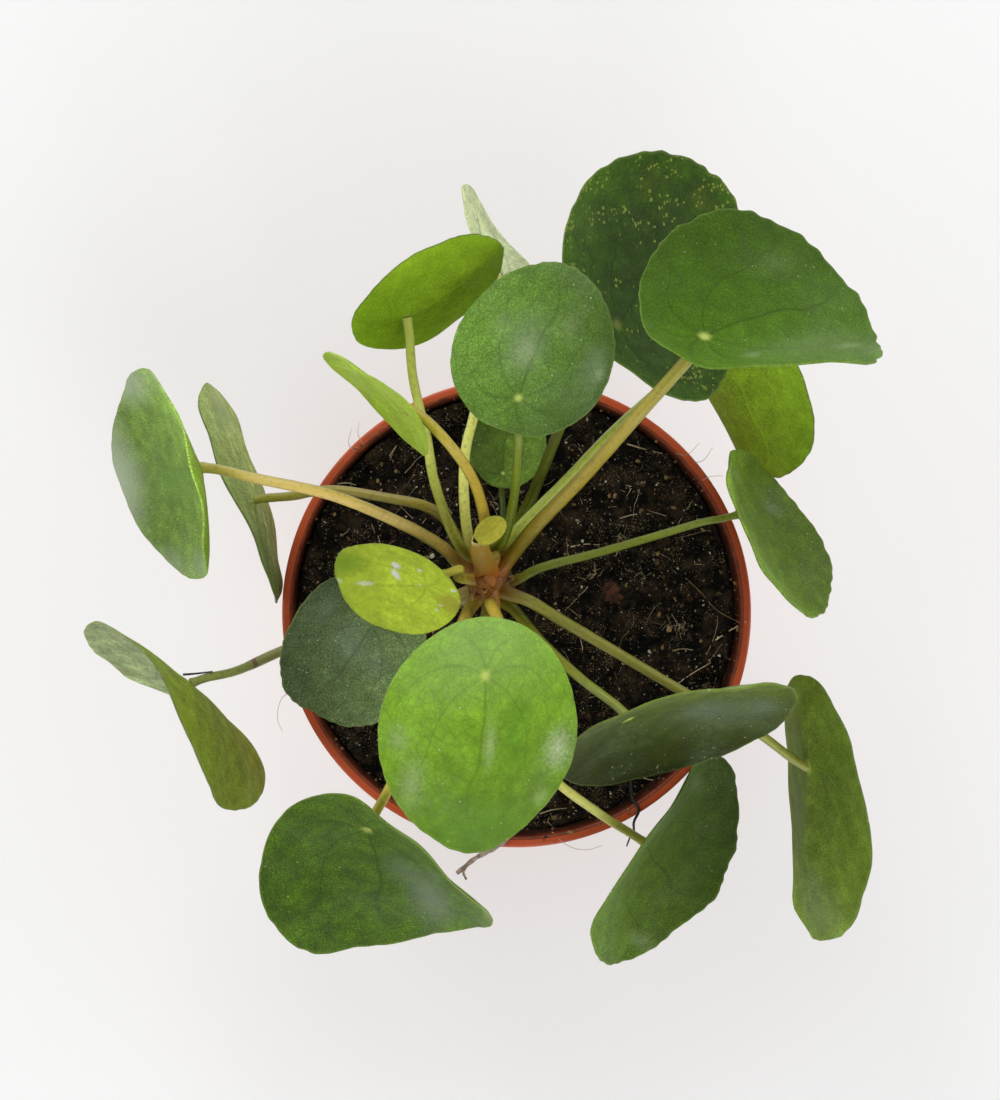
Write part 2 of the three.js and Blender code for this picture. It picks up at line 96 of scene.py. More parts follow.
# Leaves, as their solids stand. at is where the stalk meets the blade; heading, dip and roll turn the
# blade; foot is the share of its length behind that spot; curl bends it to the tip, the foot, the left and
# the right; skew turns the lines it bends about; egg narrows the tip end and beak draws it out. base is the
# turn and height where the stalk leaves the trunk, via the points it passes, thick its diameters.
# gloss is the upper face's roughness, flecks how many pale flecks it has, fleck_tone their colour and
# fleck_size how large they are beside the usual ones. scallop is the height of the margin's notches,
# crease the depth of the main veins, and wax_and_sheen how whitish the leaf gets in random patches that
# are partly a waxy film and partly painted sheen. texture is how strongly its fine grain and its broad
# mottle show. lean is how fast painted light and shade make the leaf lighter towards its tip, its left
# and its margin. sheens are broad soft patches, mostly of painted sheen and some darker ones of painted
# shade, and spots are small ones, mostly painted highlights and sheen with a few tints and stains: place
# on the flat blade, reach each way, strength and colour. rolled is where the margin is rolled over, in
# degrees. veins and glow are how strongly the veins and the spot over the stalk show. seat is how far the
# stalk's end stays off the dimple in mm, joint where it has a scar, as a share of its length.
LEAVES = {
    "front": dict(
        at=(-7.5, -12.5, 193), heading=-93, dip=4, roll=-24, long=54, wide=48, foot=0.25,
        egg=-0.03, beak=0.03, waves=5, curl=(-12, 1, 4, -38), skew=13, twist=-5,
        base=(-75, 138), thick=(3.6, 2.6),
        via=((-6.5, 3, 150), (-4.5, -1.5, 165), (-5.5, -7, 181)),
        kind="green", stem="amber", upper="#88b826", under="#8fae52",
        gloss=0.36, flecks=0.06, scallop=0.1, crease=0.12,
        wax_and_sheen=0.45, stalk_tone="#c9b040",
        texture=(1.3, 2), lean=(-0.4, -0.1, 0),
        sheens=(
            (-8, -2, 20, 30, 0.4, "#9dbb7c"), (13, 8, 15, 5, 0.4, "#4f8a14"),
            (36, 0, 13, 22, 0.35, "#4f8a14"),
        ),
        spots=(
            (17, 19.5, 9, 6, 0.8, "#ccd8b0"),
            (26, -15, 12, 6, 0.6, "#b4c88c"),
            (16, -19, 7, 5, 0.5, "#b4c88c"),
            (16, 2.2, 10, 2.6, 0.7, "#b4c88c"),
            (28.9, 16.9, 4, 4, 0.6, "#a9c07e"),
        )),
    "lime": dict(
        at=(-22, 7.5, 153), heading=179, dip=31, roll=-47, long=33.5, wide=30, foot=0.25,
        egg=0, beak=-0.02, waves=4, curl=(23, 2, 0, 0), skew=51, twist=6,
        base=(175, 142), thick=(2.6, 2),
        via=((-14, 11.5, 150.5), (-17, 10.5, 151.5)),
        kind="young", stem="amber", upper="#d6ef46", under="#a9bb45",
        gloss=0.16, flecks=0.0, scallop=0.06, crease=0.15,
        wax_and_sheen=0, stalk_tone="#bdb140",
        glow=0.1, veins=0.45, texture=(0.8, 1.6), lean=(0, 0.1, -0.2),
        spots=(
            (5.2, -7.2, 2, 2.2, 1, "#ffffff"),
            (6.8, -4, 1.6, 3.4, 1, "#ffffff"),
            (16.9, -0.9, 4.4, 1.5, 0.7, "#f2f8dc"),
            (-0.9, -5.6, 1.1, 1.2, 0.7, "#fbfdee"),
            (1.6, -0.2, 0.8, 0.7, 0.6, "#fbfdee"),
            (-7.4, 1.2, 1.3, 0.9, 1, "#ffffff"),
            (-1.4, 6.6, 1.2, 0.9, 0.7, "#fbfdee"),
            (0.3, 8.1, 0.9, 0.8, 0.6, "#fbfdee"),
            (-4.5, 6, 6, 7, 0.55, "#a98f3c"),
            (19, -8, 11, 8, 0.7, "#83a92a"),
            (23.5, -2.1, 1.2, 1.5, 0.8, "#cfdcae"),
        )),
    "low_left": dict(
        at=(-36, -2.5, 127), heading=-124, dip=23, roll=-5, long=42, wide=37, foot=0.29,
        egg=0.02, beak=-0.03, waves=5, curl=(6, -37, 32, 31), skew=23, twist=8,
        base=(200, 119), thick=(3, 2.2),
        via=((-19, 3, 124), (-28, 0, 124)),
        kind="dark", stem="green", upper="#758b57", under="#7d9050",
        gloss=0.42, flecks=0.6, scallop=0.15, crease=0.1,
        wax_and_sheen=0.5, stalk_tone="#bfb06c",
        glow=0.1, texture=(4.5, 2.4), lean=(0.2, 0.7, -0.3),
        spots=(
            (7.5, -2, 11, 9, 0.5, "#93a296"),
            (2.2, -12, 8, 4, 0.25, "#93a296"),
            (8.5, 6, 8, 7, 0.35, "#93a296"),
        )),
    "far_left": dict(
        at=(-76, 35.5, 160), heading=164, dip=80, roll=-34, long=62.5, wide=54.5, foot=0.22,
        egg=-0.02, beak=0.03, waves=7, curl=(41, 11, 48, 16), skew=42, twist=-8,
        base=(150, 133), thick=(3.8, 2.4),
        via=((-18.5, 17, 147), (-28, 22.5, 160), (-44, 29, 169), (-62, 33, 167)),
        kind="green", stem="amber", upper="#95bd48", under="#809c33",
        gloss=0.4, flecks=0.04, scallop=0.08, crease=0.08,
        wax_and_sheen=0.3, stalk_tone="#bfa658", seat=0.1,
        texture=(4.5, 2.8), lean=(-1, -0.2, 0.3),
        sheens=(
            (50, 0, 14, 34, 0.85, "#b4c1a4"), (38, 25, 20, 9, 0.6, "#a9b899"),
            (30, -25, 22, 10, 0.8, "#a9b899"), (4, -25, 14, 9, 0.4, "#a9b899"),
            (14, 24, 12, 7, 0.35, "#a9b899"), (24, 2, 16, 12, 0.5, "#6b9440"),
        )),
    "left": dict(
        at=(-66.5, 28.5, 121), heading=94, dip=71, roll=-101, long=59, wide=59, foot=0.34,
        egg=0, beak=-0.06, waves=7, curl=(11, -4, 5, 25), skew=-30, twist=-7,
        base=(140, 120), thick=(3.6, 2.2),
        via=((-15.5, 20, 125), (-18, 24, 128), (-23, 27, 132),
             (-32.5, 29, 131), (-46.5, 31, 128), (-56.5, 29.5, 124)),
        kind="green", stem="green", upper="#6b8740", under="#a2b565",
        gloss=0.45, flecks=0.06, scallop=0.08, crease=0.08,
        wax_and_sheen=0.2, stalk_tone="#8e8032", seat=0.1,
        texture=(5.3, 3.5), lean=(0.5, -0.3, -0.4),
        sheens=(
            (14, -22, 22, 12, 0.55, "#a3b184"), (36, -8, 12, 12, 0.35, "#9fb07a"),
            (-8, 14, 14, 12, 0.5, "#5c7a2c"),
        )),
    "left_low": dict(
        at=(-82.5, -18, 119), heading=-48, dip=74, roll=88, long=74.5, wide=65.5, foot=0.33,
        egg=0.09, beak=0, waves=7, curl=(16, 10, 51, 34), skew=-11, twist=-36,
        base=(215, 112), thick=(3.2, 2.2),
        via=((-19.5, 3, 113), (-32, -1, 112), (-45, -4.5, 111),
             (-59.5, -9.5, 111.5), (-71, -14.5, 115)),
        kind="green", stem="green", upper="#7c895a", under="#9ab039",
        gloss=0.5, flecks=0.06, scallop=0.1, crease=0.08,
        wax_and_sheen=0.2, stalk_tone="#83884a", joint=0.79, seat=0.1,
        texture=(2.8, 3.2), lean=(0.2, -0.6, 0),
        spots=(
            (30, -5, 12, 12, 0.15, "#b6c79a"),
        )),
    "front_left": dict(
        at=(-36.5, -52, 147), heading=-76, dip=57, roll=31, long=65, wide=61, foot=0.23,
        egg=-0.13, beak=0, waves=7, curl=(4, -8, 43, 47), skew=13, twist=-21,
        base=(235, 127), thick=(3.6, 2.4),
        via=((-13, -1, 139), (-17.5, -11.5, 149), (-23.5, -24.5, 155), (-30, -39.5, 154)),
        kind="green", stem="green", upper="#486705", under="#7d9045",
        gloss=0.4, flecks=0.05, scallop=0.15, crease=0.14,
        wax_and_sheen=0.25, stalk_tone="#cbb74a",
        glow=0.5, rolled=(40, 145), texture=(5.3, 3), lean=(-0.3, 0.1, 0.3),
        sheens=(
            (30, 12, 24, 9, 0.6, "#7f8c76"), (17, 6, 12, 7, 0.35, "#74836a"),
        ),
        spots=(
            (13, 16, 9, 4, 0.25, "#9cab92"),
        )),
    "front_right": dict(
        at=(33, -58, 119), heading=-96, dip=77, roll=-60, long=66, wide=60.5, foot=0.29,
        egg=0.1, beak=0, waves=7, curl=(45, -7, 36, -7), skew=-55, twist=8,
        base=(265, 117), thick=(3.4, 2.2),
        via=((-8, -4, 122), (-3.5, -21, 128), (7, -38.5, 130), (20.5, -49.5, 126)),
        kind="dark", stem="green", upper="#516e0a", under="#7a8c45",
        gloss=0.42, flecks=0.12, scallop=0.18, crease=0.08,
        wax_and_sheen=0.25, stalk_tone="#bdbb5c",
        texture=(4.5, 2), lean=(-0.2, -0.6, 0),
        sheens=(
            (-6, 8, 20, 12, 0.3, "#5b6c4a"),
        ),
        spots=(
            (30, -20, 12, 4, 0.3, "#b6c79a"),
            (2, 20, 9, 4, 0.2, "#b6c79a"),
        )),
    "dark_right": dict(
        at=(26.5, -24.5, 159), heading=15, dip=38, roll=75, long=63.5, wide=58.5, foot=0.27,
        egg=0.14, beak=0, waves=7, curl=(44, 2, 19, 24), skew=-42, twist=-8,
        base=(-50, 124), thick=(3.4, 2.2),
        via=((-0.5, 1, 128), (5.5, -6, 138), (16, -15.5, 152)),
        kind="dark", stem="green", upper="#4a5a12", under="#71834a",
        gloss=0.45, flecks=0.3, scallop=0.15, crease=0.08,
        wax_and_sheen=0.5, stalk_tone="#777d1e",
        texture=(2.5, 2), lean=(0.3, 1.1, -0.3),
        sheens=(
            (28, 2, 28, 15, 0.4, "#64755a"),
        ),
        spots=(
            (24, 0, 14, 10, 0.25, "#93a296"),
            (38, 4, 8, 8, 0.3, "#93a296"),
        )),
    "right_low": dict(
        at=(74, -38.5, 115), heading=-92, dip=28, roll=-113, long=70, wide=62, foot=0.33,
        egg=-0.08, beak=-0.01, waves=8, curl=(-3, 8, 33, 8), skew=-22, twist=-5,
        base=(-30, 132), thick=(3.6, 2.2),
        via=((3, 3.5, 134), (10.5, -1, 134), (25, -9.5, 132), (41, -19, 127), (60, -29.5, 120)),
        kind="green", stem="green", upper="#4f6a2c", under="#6a8228",
        gloss=0.5, flecks=0.15, scallop=0.18, crease=0.06,
        wax_and_sheen=0.1, stalk_tone="#8e8b3b", seat=0.1,
        texture=(4.5, 3), lean=(0.1, 0.4, 0.4),
        sheens=(
            (18, 6, 28, 11, 0.6, "#7f8a62"), (35, -12, 14, 20, 0.55, "#8a9a6c"),
            (-3, 12, 12, 9, 0.4, "#7f8a62"),
        )),
    "right": dict(
        at=(55, 25, 131), heading=-58, dip=57, roll=-79, long=49.5, wide=47.5, foot=0.23,
        egg=-0.13, beak=0.05, waves=6, curl=(46, -1, 40, 13), skew=24, twist=-10,
        base=(5, 121), thick=(2.8, 1.8),
        via=((5.5, 11.5, 126), (20, 15.4, 131), (35, 19.8, 134), (46, 23, 133.5)),
        kind="dark", stem="green", upper="#749617", under="#738a2f",
        gloss=0.4, flecks=0.15, scallop=0.18, crease=0.08,
        wax_and_sheen=0.3, stalk_tone="#848f32", seat=0.1,
        texture=(4.5, 2.2), lean=(-0.9, -0.2, 0.3),
        spots=(
            (24, 12, 7, 4, 0.3, "#93a296"),
            (5, 14, 8, 3, 0.3, "#93a296"),
        )),
    "top_right": dict(
        at=(42.5, 65, 191), heading=22, dip=32, roll=-37, long=61, wide=57.5, foot=0.24,
        egg=-0.06, beak=0.02, waves=9, curl=(-11, 20, 30, 54), skew=-22, twist=-9,
        base=(45, 136), thick=(4, 3),
        via=((4.5, 22, 155), (15.5, 33.5, 171), (26.5, 46, 183)),
        kind="green", stem="amber", upper="#527a05", under="#74903c",
        gloss=0.42, flecks=0.05, scallop=0.3, crease=0.16,
        wax_and_sheen=0.2, stalk_tone="#918028",
        texture=(3.4, 1.5), lean=(-0.1, -0.4, 0),
        sheens=(
            (26, -20, 34, 9, 0.3, "#75895c"),
        ),
        spots=(
            (22, -13, 34, 9, 0.4, "#8a9c70"),
            (29.9, -16.9, 9, 3, 0.35, "#b6c79a"),
            (4, -12, 4, 3, 0.4, "#b6c79a"),
            (30, 12, 12, 7, 0.12, "#b6c79a"),
        )),
    "back_right": dict(
        at=(24, 70, 157), heading=57, dip=46, roll=26, long=67, wide=63, foot=0.21,
        egg=0.07, beak=0.03, waves=9, curl=(38, 25, 16, 3), skew=34, twist=1,
        base=(75, 122), thick=(3.4, 2.4),
        via=((2, 26, 129), (6, 35, 139), (10, 45, 148), (16, 59, 155)),
        kind="dark", stem="green", upper="#365504", under="#6c803c",
        gloss=0.45, flecks=0.6, scallop=0.3, crease=0.08,
        wax_and_sheen=0.1, stalk_tone="#545b12",
        fleck_tone="#93a23e", fleck_size=2.9, glow=0.25, texture=(3.3, 3), lean=(-1.2, 0.2, 0.8),
        sheens=(
            (8, 24, 16, 9, 0.25, "#5b6f3c"),
        ),
        spots=(
            (34, 19, 9, 6, 0.12, "#a3a338"),
            (45.4, 5.9, 6, 8, 0.14, "#a3a338"),
        )),
    "right_back": dict(
        at=(53.5, 68.5, 107), heading=114, dip=155, roll=54, long=53.5, wide=47, foot=0.29,
        egg=-0.04, beak=0.02, waves=7, curl=(-8, -5, 33, -5), skew=-5, twist=1,
        base=(60, 131), thick=(3.4, 2.4),
        via=((-3, 17.4, 135), (4.5, 25.5, 140), (12, 33, 143),
             (22.5, 44, 144), (34, 54.5, 138), (44.5, 63, 124)),
        kind="green", stem="green", upper="#54701f", under="#93ba2d",
        gloss=0.45, flecks=0.2, scallop=0.1, crease=0.06,
        wax_and_sheen=0.05, stalk_tone="#abb74a", seat=0.1,
        texture=(2.8, 2.4), lean=(-0.2, -0.2, 0)),
    "round_back": dict(
        at=(0, 51.5, 177), heading=68, dip=15, roll=-14, long=42.5, wide=39, foot=0.22,
        egg=0.07, beak=0.01, waves=8, curl=(23, 13, 9, 14), skew=-11, twist=-5,
        base=(85, 136), thick=(3, 2),
        via=((-3.5, 18.5, 145), (-1, 28, 157), (0, 39.5, 169)),
        kind="green", stem="green", upper="#6b9138", under="#7d9a4a",
        gloss=0.32, flecks=0.12, scallop=0.12, crease=0.14,
        wax_and_sheen=0.6, stalk_tone="#70811a",
        texture=(3.4, 1.8), lean=(0.3, 0.6, -0.3),
        sheens=(
            (13, 3, 13, 9, 0.4, "#8ea083"), (12, -15, 9, 5, 0.35, "#8ea083"),
        ),
        spots=(
            (11.1, 2.5, 7, 5.5, 0.6, "#b6c79a"),
            (10.7, -17, 4, 3, 0.5, "#b6c79a"),
            (16, 10, 7, 5, 0.25, "#b6c79a"),
            (20, -6, 7, 5, 0.25, "#b6c79a"),
        )),
    "back_left": dict(
        at=(-26.5, 71.5, 163), heading=27, dip=-3, roll=-120, long=41.5, wide=35.5, foot=0.32,
        egg=-0.03, beak=0.01, waves=6, curl=(19, 12, 19, 10), skew=-26, twist=0,
        base=(125, 125), thick=(3.2, 2.2),
        via=((-15, 18.5, 135), (-20.2, 33, 149), (-21.7, 42.5, 155), (-25, 57.5, 161)),
        kind="green", stem="green", upper="#56771f", under="#89ad22",
        gloss=0.45, flecks=0.15, scallop=0.08, crease=0.06,
        wax_and_sheen=0.05, stalk_tone="#c4ca5d", seat=0.1,
        texture=(2.2, 1.8), lean=(-0.4, -0.2, 0.3)),
    "back": dict(
        at=(-3, 84, 135), heading=133, dip=38, roll=77, long=38, wide=30.5, foot=0.27,
        egg=-0.05, beak=0.03, waves=5, curl=(46, 1, 17, 24), skew=15, twist=24,
        base=(112, 131), thick=(3.2, 2.2),
        via=((-12, 19.5, 141), (-13, 30.5, 147), (-12.5, 40.5, 147),
             (-10.5, 49, 145), (-7.5, 65, 141)),
        kind="green", stem="amber", upper="#dde9b2", under="#bccb98",
        gloss=0.5, flecks=0.0, scallop=0.06, crease=0.06,
        wax_and_sheen=0.2, stalk_tone="#dfdf74",
        texture=(1.3, 2.2), lean=(0.5, 0.3, -0.3)),
    "arched": dict(
        at=(-26, 48, 183), heading=133, dip=32, roll=-85, long=35, wide=33, foot=0.27,
        egg=0.11, beak=-0.01, waves=4, curl=(22, -4, 33, 19), skew=40, twist=0,
        base=(97, 141), thick=(3.4, 2.4),
        via=((-7.5, 19.5, 152), (-8.5, 26.5, 165), (-11, 33.5, 175), (-16, 40.5, 183)),
        kind="young", stem="amber", upper="#adcc39", under="#9ab548",
        gloss=0.35, flecks=0.0, scallop=0.06, crease=0.08,
        wax_and_sheen=0.1, stalk_tone="#ad942f",
        veins=0.6, texture=(1.2, 1.5), lean=(0, -0.1, 0)),
    "low_back": dict(
        at=(-3.5, 35.5, 111), heading=88, dip=30, roll=16, long=23, wide=22, foot=0.2,
        egg=-0.06, beak=0, waves=4, curl=(-15, 16, 23, 33), skew=31, twist=6,
        base=(70, 116), thick=(2, 1.6),
        via=((-4, 18.5, 114), (-3.5, 26, 112)),
        kind="dark", stem="green", upper="#6c8c30", under="#5f7a35",
        gloss=0.45, flecks=0.2, scallop=0.12, crease=0.08,
        wax_and_sheen=0.2, stalk_tone="#354105",
        texture=(2.5, 3.5), lean=(-0.3, -0.6, 0)),
    "bud": dict(
        at=(-9, 19, 163), heading=36, dip=-20, roll=0, long=9, wide=6, foot=0.12,
        egg=0, beak=0, waves=2, curl=(10, 0, 30, 30), skew=0, twist=0,
        base=(65, 145), thick=(2.4, 1.8),
        via=((-7.2, 14, 151), (-8.6, 16.6, 158)),
        kind="young", stem="amber", upper="#cbc543", under="#9c982e",
        gloss=0.35, flecks=0.0, scallop=0.03, crease=0.05,
        wax_and_sheen=0, stalk_tone="#a28e3f",
        veins=0.4, texture=(1.1, 1.5), lean=(0, 0, 0)),
}


def linear(hex_colour):
    """Turns an sRGB hex colour into the linear colour that shaders take."""
    values = [int(hex_colour[i:i + 2], 16) / 255 for i in (1, 3, 5)]
    return tuple(v / 12.92 if v <= 0.04045 else ((v + 0.055) / 1.055) ** 2.4 for v in values) + (1.0,)


def shade(colour, factor):
    """A linear colour made lighter or darker."""
    return tuple(min(v * factor, 1.0) for v in colour[:3]) + (1.0,)


def add(tree, kind, inputs=None, **settings):
    """Adds a node. inputs gives each socket, by name or number, a value, a node or a node's output."""
    node = tree.nodes.new(kind)
    for name, value in settings.items():
        setattr(node, name, value)
    for socket, value in (inputs or {}).items():
        if isinstance(value, bpy.types.Node):
            value = next(output for output in value.outputs if output.enabled)
        if isinstance(value, bpy.types.NodeSocket):
            tree.links.new(value, node.inputs[socket])
        else:
            node.inputs[socket].default_value = value
    return node


def new_material(name):
    """An empty node material and its tree."""
    material = bpy.data.materials.new(name)
    material.use_nodes = True
    material.node_tree.nodes.clear()
    return material, material.node_tree


def surface(tree, inputs):
    """Closes a material with the one shader that carries its look."""
    shader = add(tree, "ShaderNodeBsdfPrincipled", inputs)
    add(tree, "ShaderNodeOutputMaterial", {"Surface": shader})
    return shader


# Leaf blades

LEAF_MAP = "blade"
MARGIN = "margin"
MAP_SPAN = 200
TYPICAL_LENGTH = 60
VEIN_SPACING = math.radians(57)
VEIN_BEND = 0.0012
BEAK_BREADTH = 0.05
MARGIN_WAVE = 0.35
CREASE_BREADTH = 1.3
DIMPLE_BREADTH = 2.4
DIMPLE_DEPTH = 0.6


def bent(distance, degrees, reach):
    """Where points of a flat strip go when it bends evenly by that many degrees over its reach."""
    per_mm = np.radians(degrees) / reach
    per_mm = np.where(np.abs(per_mm) < 1e-6, 1e-6, per_mm)
    slope = per_mm * distance
    return np.sin(slope) / per_mm, (1 - np.cos(slope)) / per_mm, slope


def blade_surface(leaf, share, turn, settings, seed):
    """The middle of the blade in its own frame, in mm, and the flat place of each of its points."""
    rng = random.Random(seed)
    notches = sum(
        rng.uniform(0.5, 1) * np.sin(count * turn + rng.uniform(0, 6.28)) for count in (17, 29, 41)
    )
    reach = share * (1 + leaf["scallop"] * share ** 10 * notches / leaf["wide"])
    centre = leaf["long"] * (0.5 - leaf["foot"])
    tip = leaf["beak"] * leaf["long"] * np.exp((np.cos(turn) - 1) / BEAK_BREADTH)
    x = reach * (centre + 0.5 * leaf["long"] * np.cos(turn) + tip)
    y = reach * 0.5 * leaf["wide"] * np.sin(turn) * (1 - leaf["egg"] * np.cos(turn))
    skew = math.radians(leaf["skew"])
    along = x * math.cos(skew) + y * math.sin(skew)
    across = -x * math.sin(skew) + y * math.cos(skew)
    curl_tip, curl_foot, curl_left, curl_right = leaf["curl"]
    forward = along > 0
    run, rise, slope = bent(
        along,
        np.where(forward, curl_tip, curl_foot),
        leaf["long"] * np.where(forward, 1 - leaf["foot"], leaf["foot"]),
    )
    side_run, side_rise, _ = bent(across, np.where(across > 0, curl_left, curl_right), leaf["wide"] / 2)
    twist = math.radians(leaf["twist"]) * along / leaf["long"]
    lift = side_run * np.sin(twist) + side_rise * np.cos(twist)
    lift += MARGIN_WAVE * share ** 4 * np.sin(leaf["waves"] * turn + leaf["skew"])
    lift += blade_relief(leaf, x, y, share, settings, rng)
    side = side_run * np.cos(twist) - side_rise * np.sin(twist)
    run = run - np.sin(slope) * lift
    place = np.stack([
        run * math.cos(skew) - side * math.sin(skew),
        run * math.sin(skew) + side * math.cos(skew),
        rise + np.cos(slope) * lift,
    ], axis=-1)
    return place, x, y


def blade_relief(leaf, x, y, share, settings, rng):
    """Small rise and fall of the blade: soft swells, creases along the main veins, a dimple at the spot."""
    size = leaf["long"] / TYPICAL_LENGTH
    relief = np.zeros_like(x)
    for _ in range(4):
        angle, wave = rng.uniform(0, 6.28), rng.uniform(13, 24) * size
        phase = (x * math.cos(angle) + y * math.sin(angle)) * 2 * math.pi / wave
        relief += settings.swell / MM * size * share * np.sin(phase + rng.uniform(0, 6.28))
    radius = np.hypot(x, y)
    grow = 1 + VEIN_BEND * (radius / size) ** 2
    fan = np.abs(np.arctan2(y, x)) * grow
    near = np.abs((fan + VEIN_SPACING / 2) % VEIN_SPACING - VEIN_SPACING / 2)
    away = near * radius / grow
    creases = np.exp(-(away / CREASE_BREADTH) ** 2) * np.clip(radius / 4, 0, 1) * (1 - share ** 3)
    dimple = np.exp(-(radius / (DIMPLE_BREADTH * size)) ** 2)
    return relief - leaf["crease"] * creases - settings.dimple / MM * size * dimple


def leaf_disc(sectors, rings):
    """A flat disc, 1 m in radius, of rings around a middle point, for all blades to be shaped from."""
    bpy.ops.object.select_all(action="DESELECT")
    bpy.ops.mesh.primitive_circle_add(vertices=sectors, radius=1, fill_type="NOTHING")
    disc = bpy.context.object
    bpy.ops.object.mode_set(mode="EDIT")
    bpy.ops.mesh.select_all(action="SELECT")
    for ring in range(rings - 1, 0, -1):
        bpy.ops.mesh.extrude_region_move()
        scale = ring / (ring + 1)
        bpy.ops.transform.resize(value=(scale, scale, 1), center_override=(0, 0, 0))
    bpy.ops.mesh.extrude_region_move()
    bpy.ops.mesh.merge(type="CENTER")
    bpy.ops.mesh.select_all(action="SELECT")
    bpy.ops.mesh.normals_make_consistent(inside=False)
    bpy.ops.object.mode_set(mode="OBJECT")
    if disc.data.polygons[0].normal.z < 0:
        disc.data.flip_normals()
    return disc


def shaped_blade(name, leaf, disc, settings, seed):
    """One blade: the disc bent to the leaf's form, thickened, and rounded at its margin."""
    mesh = disc.data.copy()
    piece = bpy.data.objects.new(f"blade_{name}", mesh)
    bpy.context.scene.collection.objects.link(piece)
    flat = np.empty(len(mesh.vertices) * 3)
    mesh.vertices.foreach_get("co", flat)
    flat = flat.reshape(-1, 3)
    share = np.hypot(flat[:, 0], flat[:, 1])
    turn = np.arctan2(flat[:, 1], flat[:, 0])
    place, x, y = blade_surface(leaf, share, turn, settings, seed)
    turned = Euler([math.radians(leaf[key]) for key in ("roll", "dip", "heading")]).to_matrix()
    place = place @ np.array(turned).T + np.array(leaf["at"])
    mesh.vertices.foreach_set("co", (place * MM).ravel())
    margin = mesh.attributes.new(MARGIN, "FLOAT", "POINT")
    margin.data.foreach_set("value", share)
    corners = np.empty(len(mesh.loops), dtype=int)
    mesh.loops.foreach_get("vertex_index", corners)
    uv = np.stack([x, y], axis=-1)[corners] / MAP_SPAN + 0.5
    mesh.uv_layers.new(name=LEAF_MAP).data.foreach_set("uv", uv.ravel())
    mesh.update()
    mesh.materials.append(leaf_material(name, leaf, "upper"))
    mesh.materials.append(leaf_material(name, leaf, "under"))
    thicken = piece.modifiers.new("Thickness", "SOLIDIFY")
    thicken.thickness = settings.blade_thickness
    thicken.offset = 0
    thicken.material_offset = 1
    round_off = piece.modifiers.new("Margin", "BEVEL")
    round_off.limit_method = "ANGLE"
    round_off.angle_limit = math.radians(60)
    round_off.width = settings.blade_thickness * 0.4
    round_off.segments = 3
    finish_mesh(piece)
    return piece


def select_only(piece):
    """Selects one piece for the operators that follow."""
    bpy.ops.object.select_all(action="DESELECT")
    piece.select_set(True)
    bpy.context.view_layer.objects.active = piece


def finish_mesh(piece):
    """Applies a piece's modifiers and smooths its shading."""
    select_only(piece)
    for modifier in list(piece.modifiers):
        bpy.ops.object.modifier_apply(modifier=modifier.name)
    bpy.ops.object.shade_smooth()


def settle(piece, slot, *nodes):
    """Ties a finished piece to the frame: it rides on the root, and stands for its nodes."""
    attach(piece, "root")
    if nodes:
        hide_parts(*nodes)


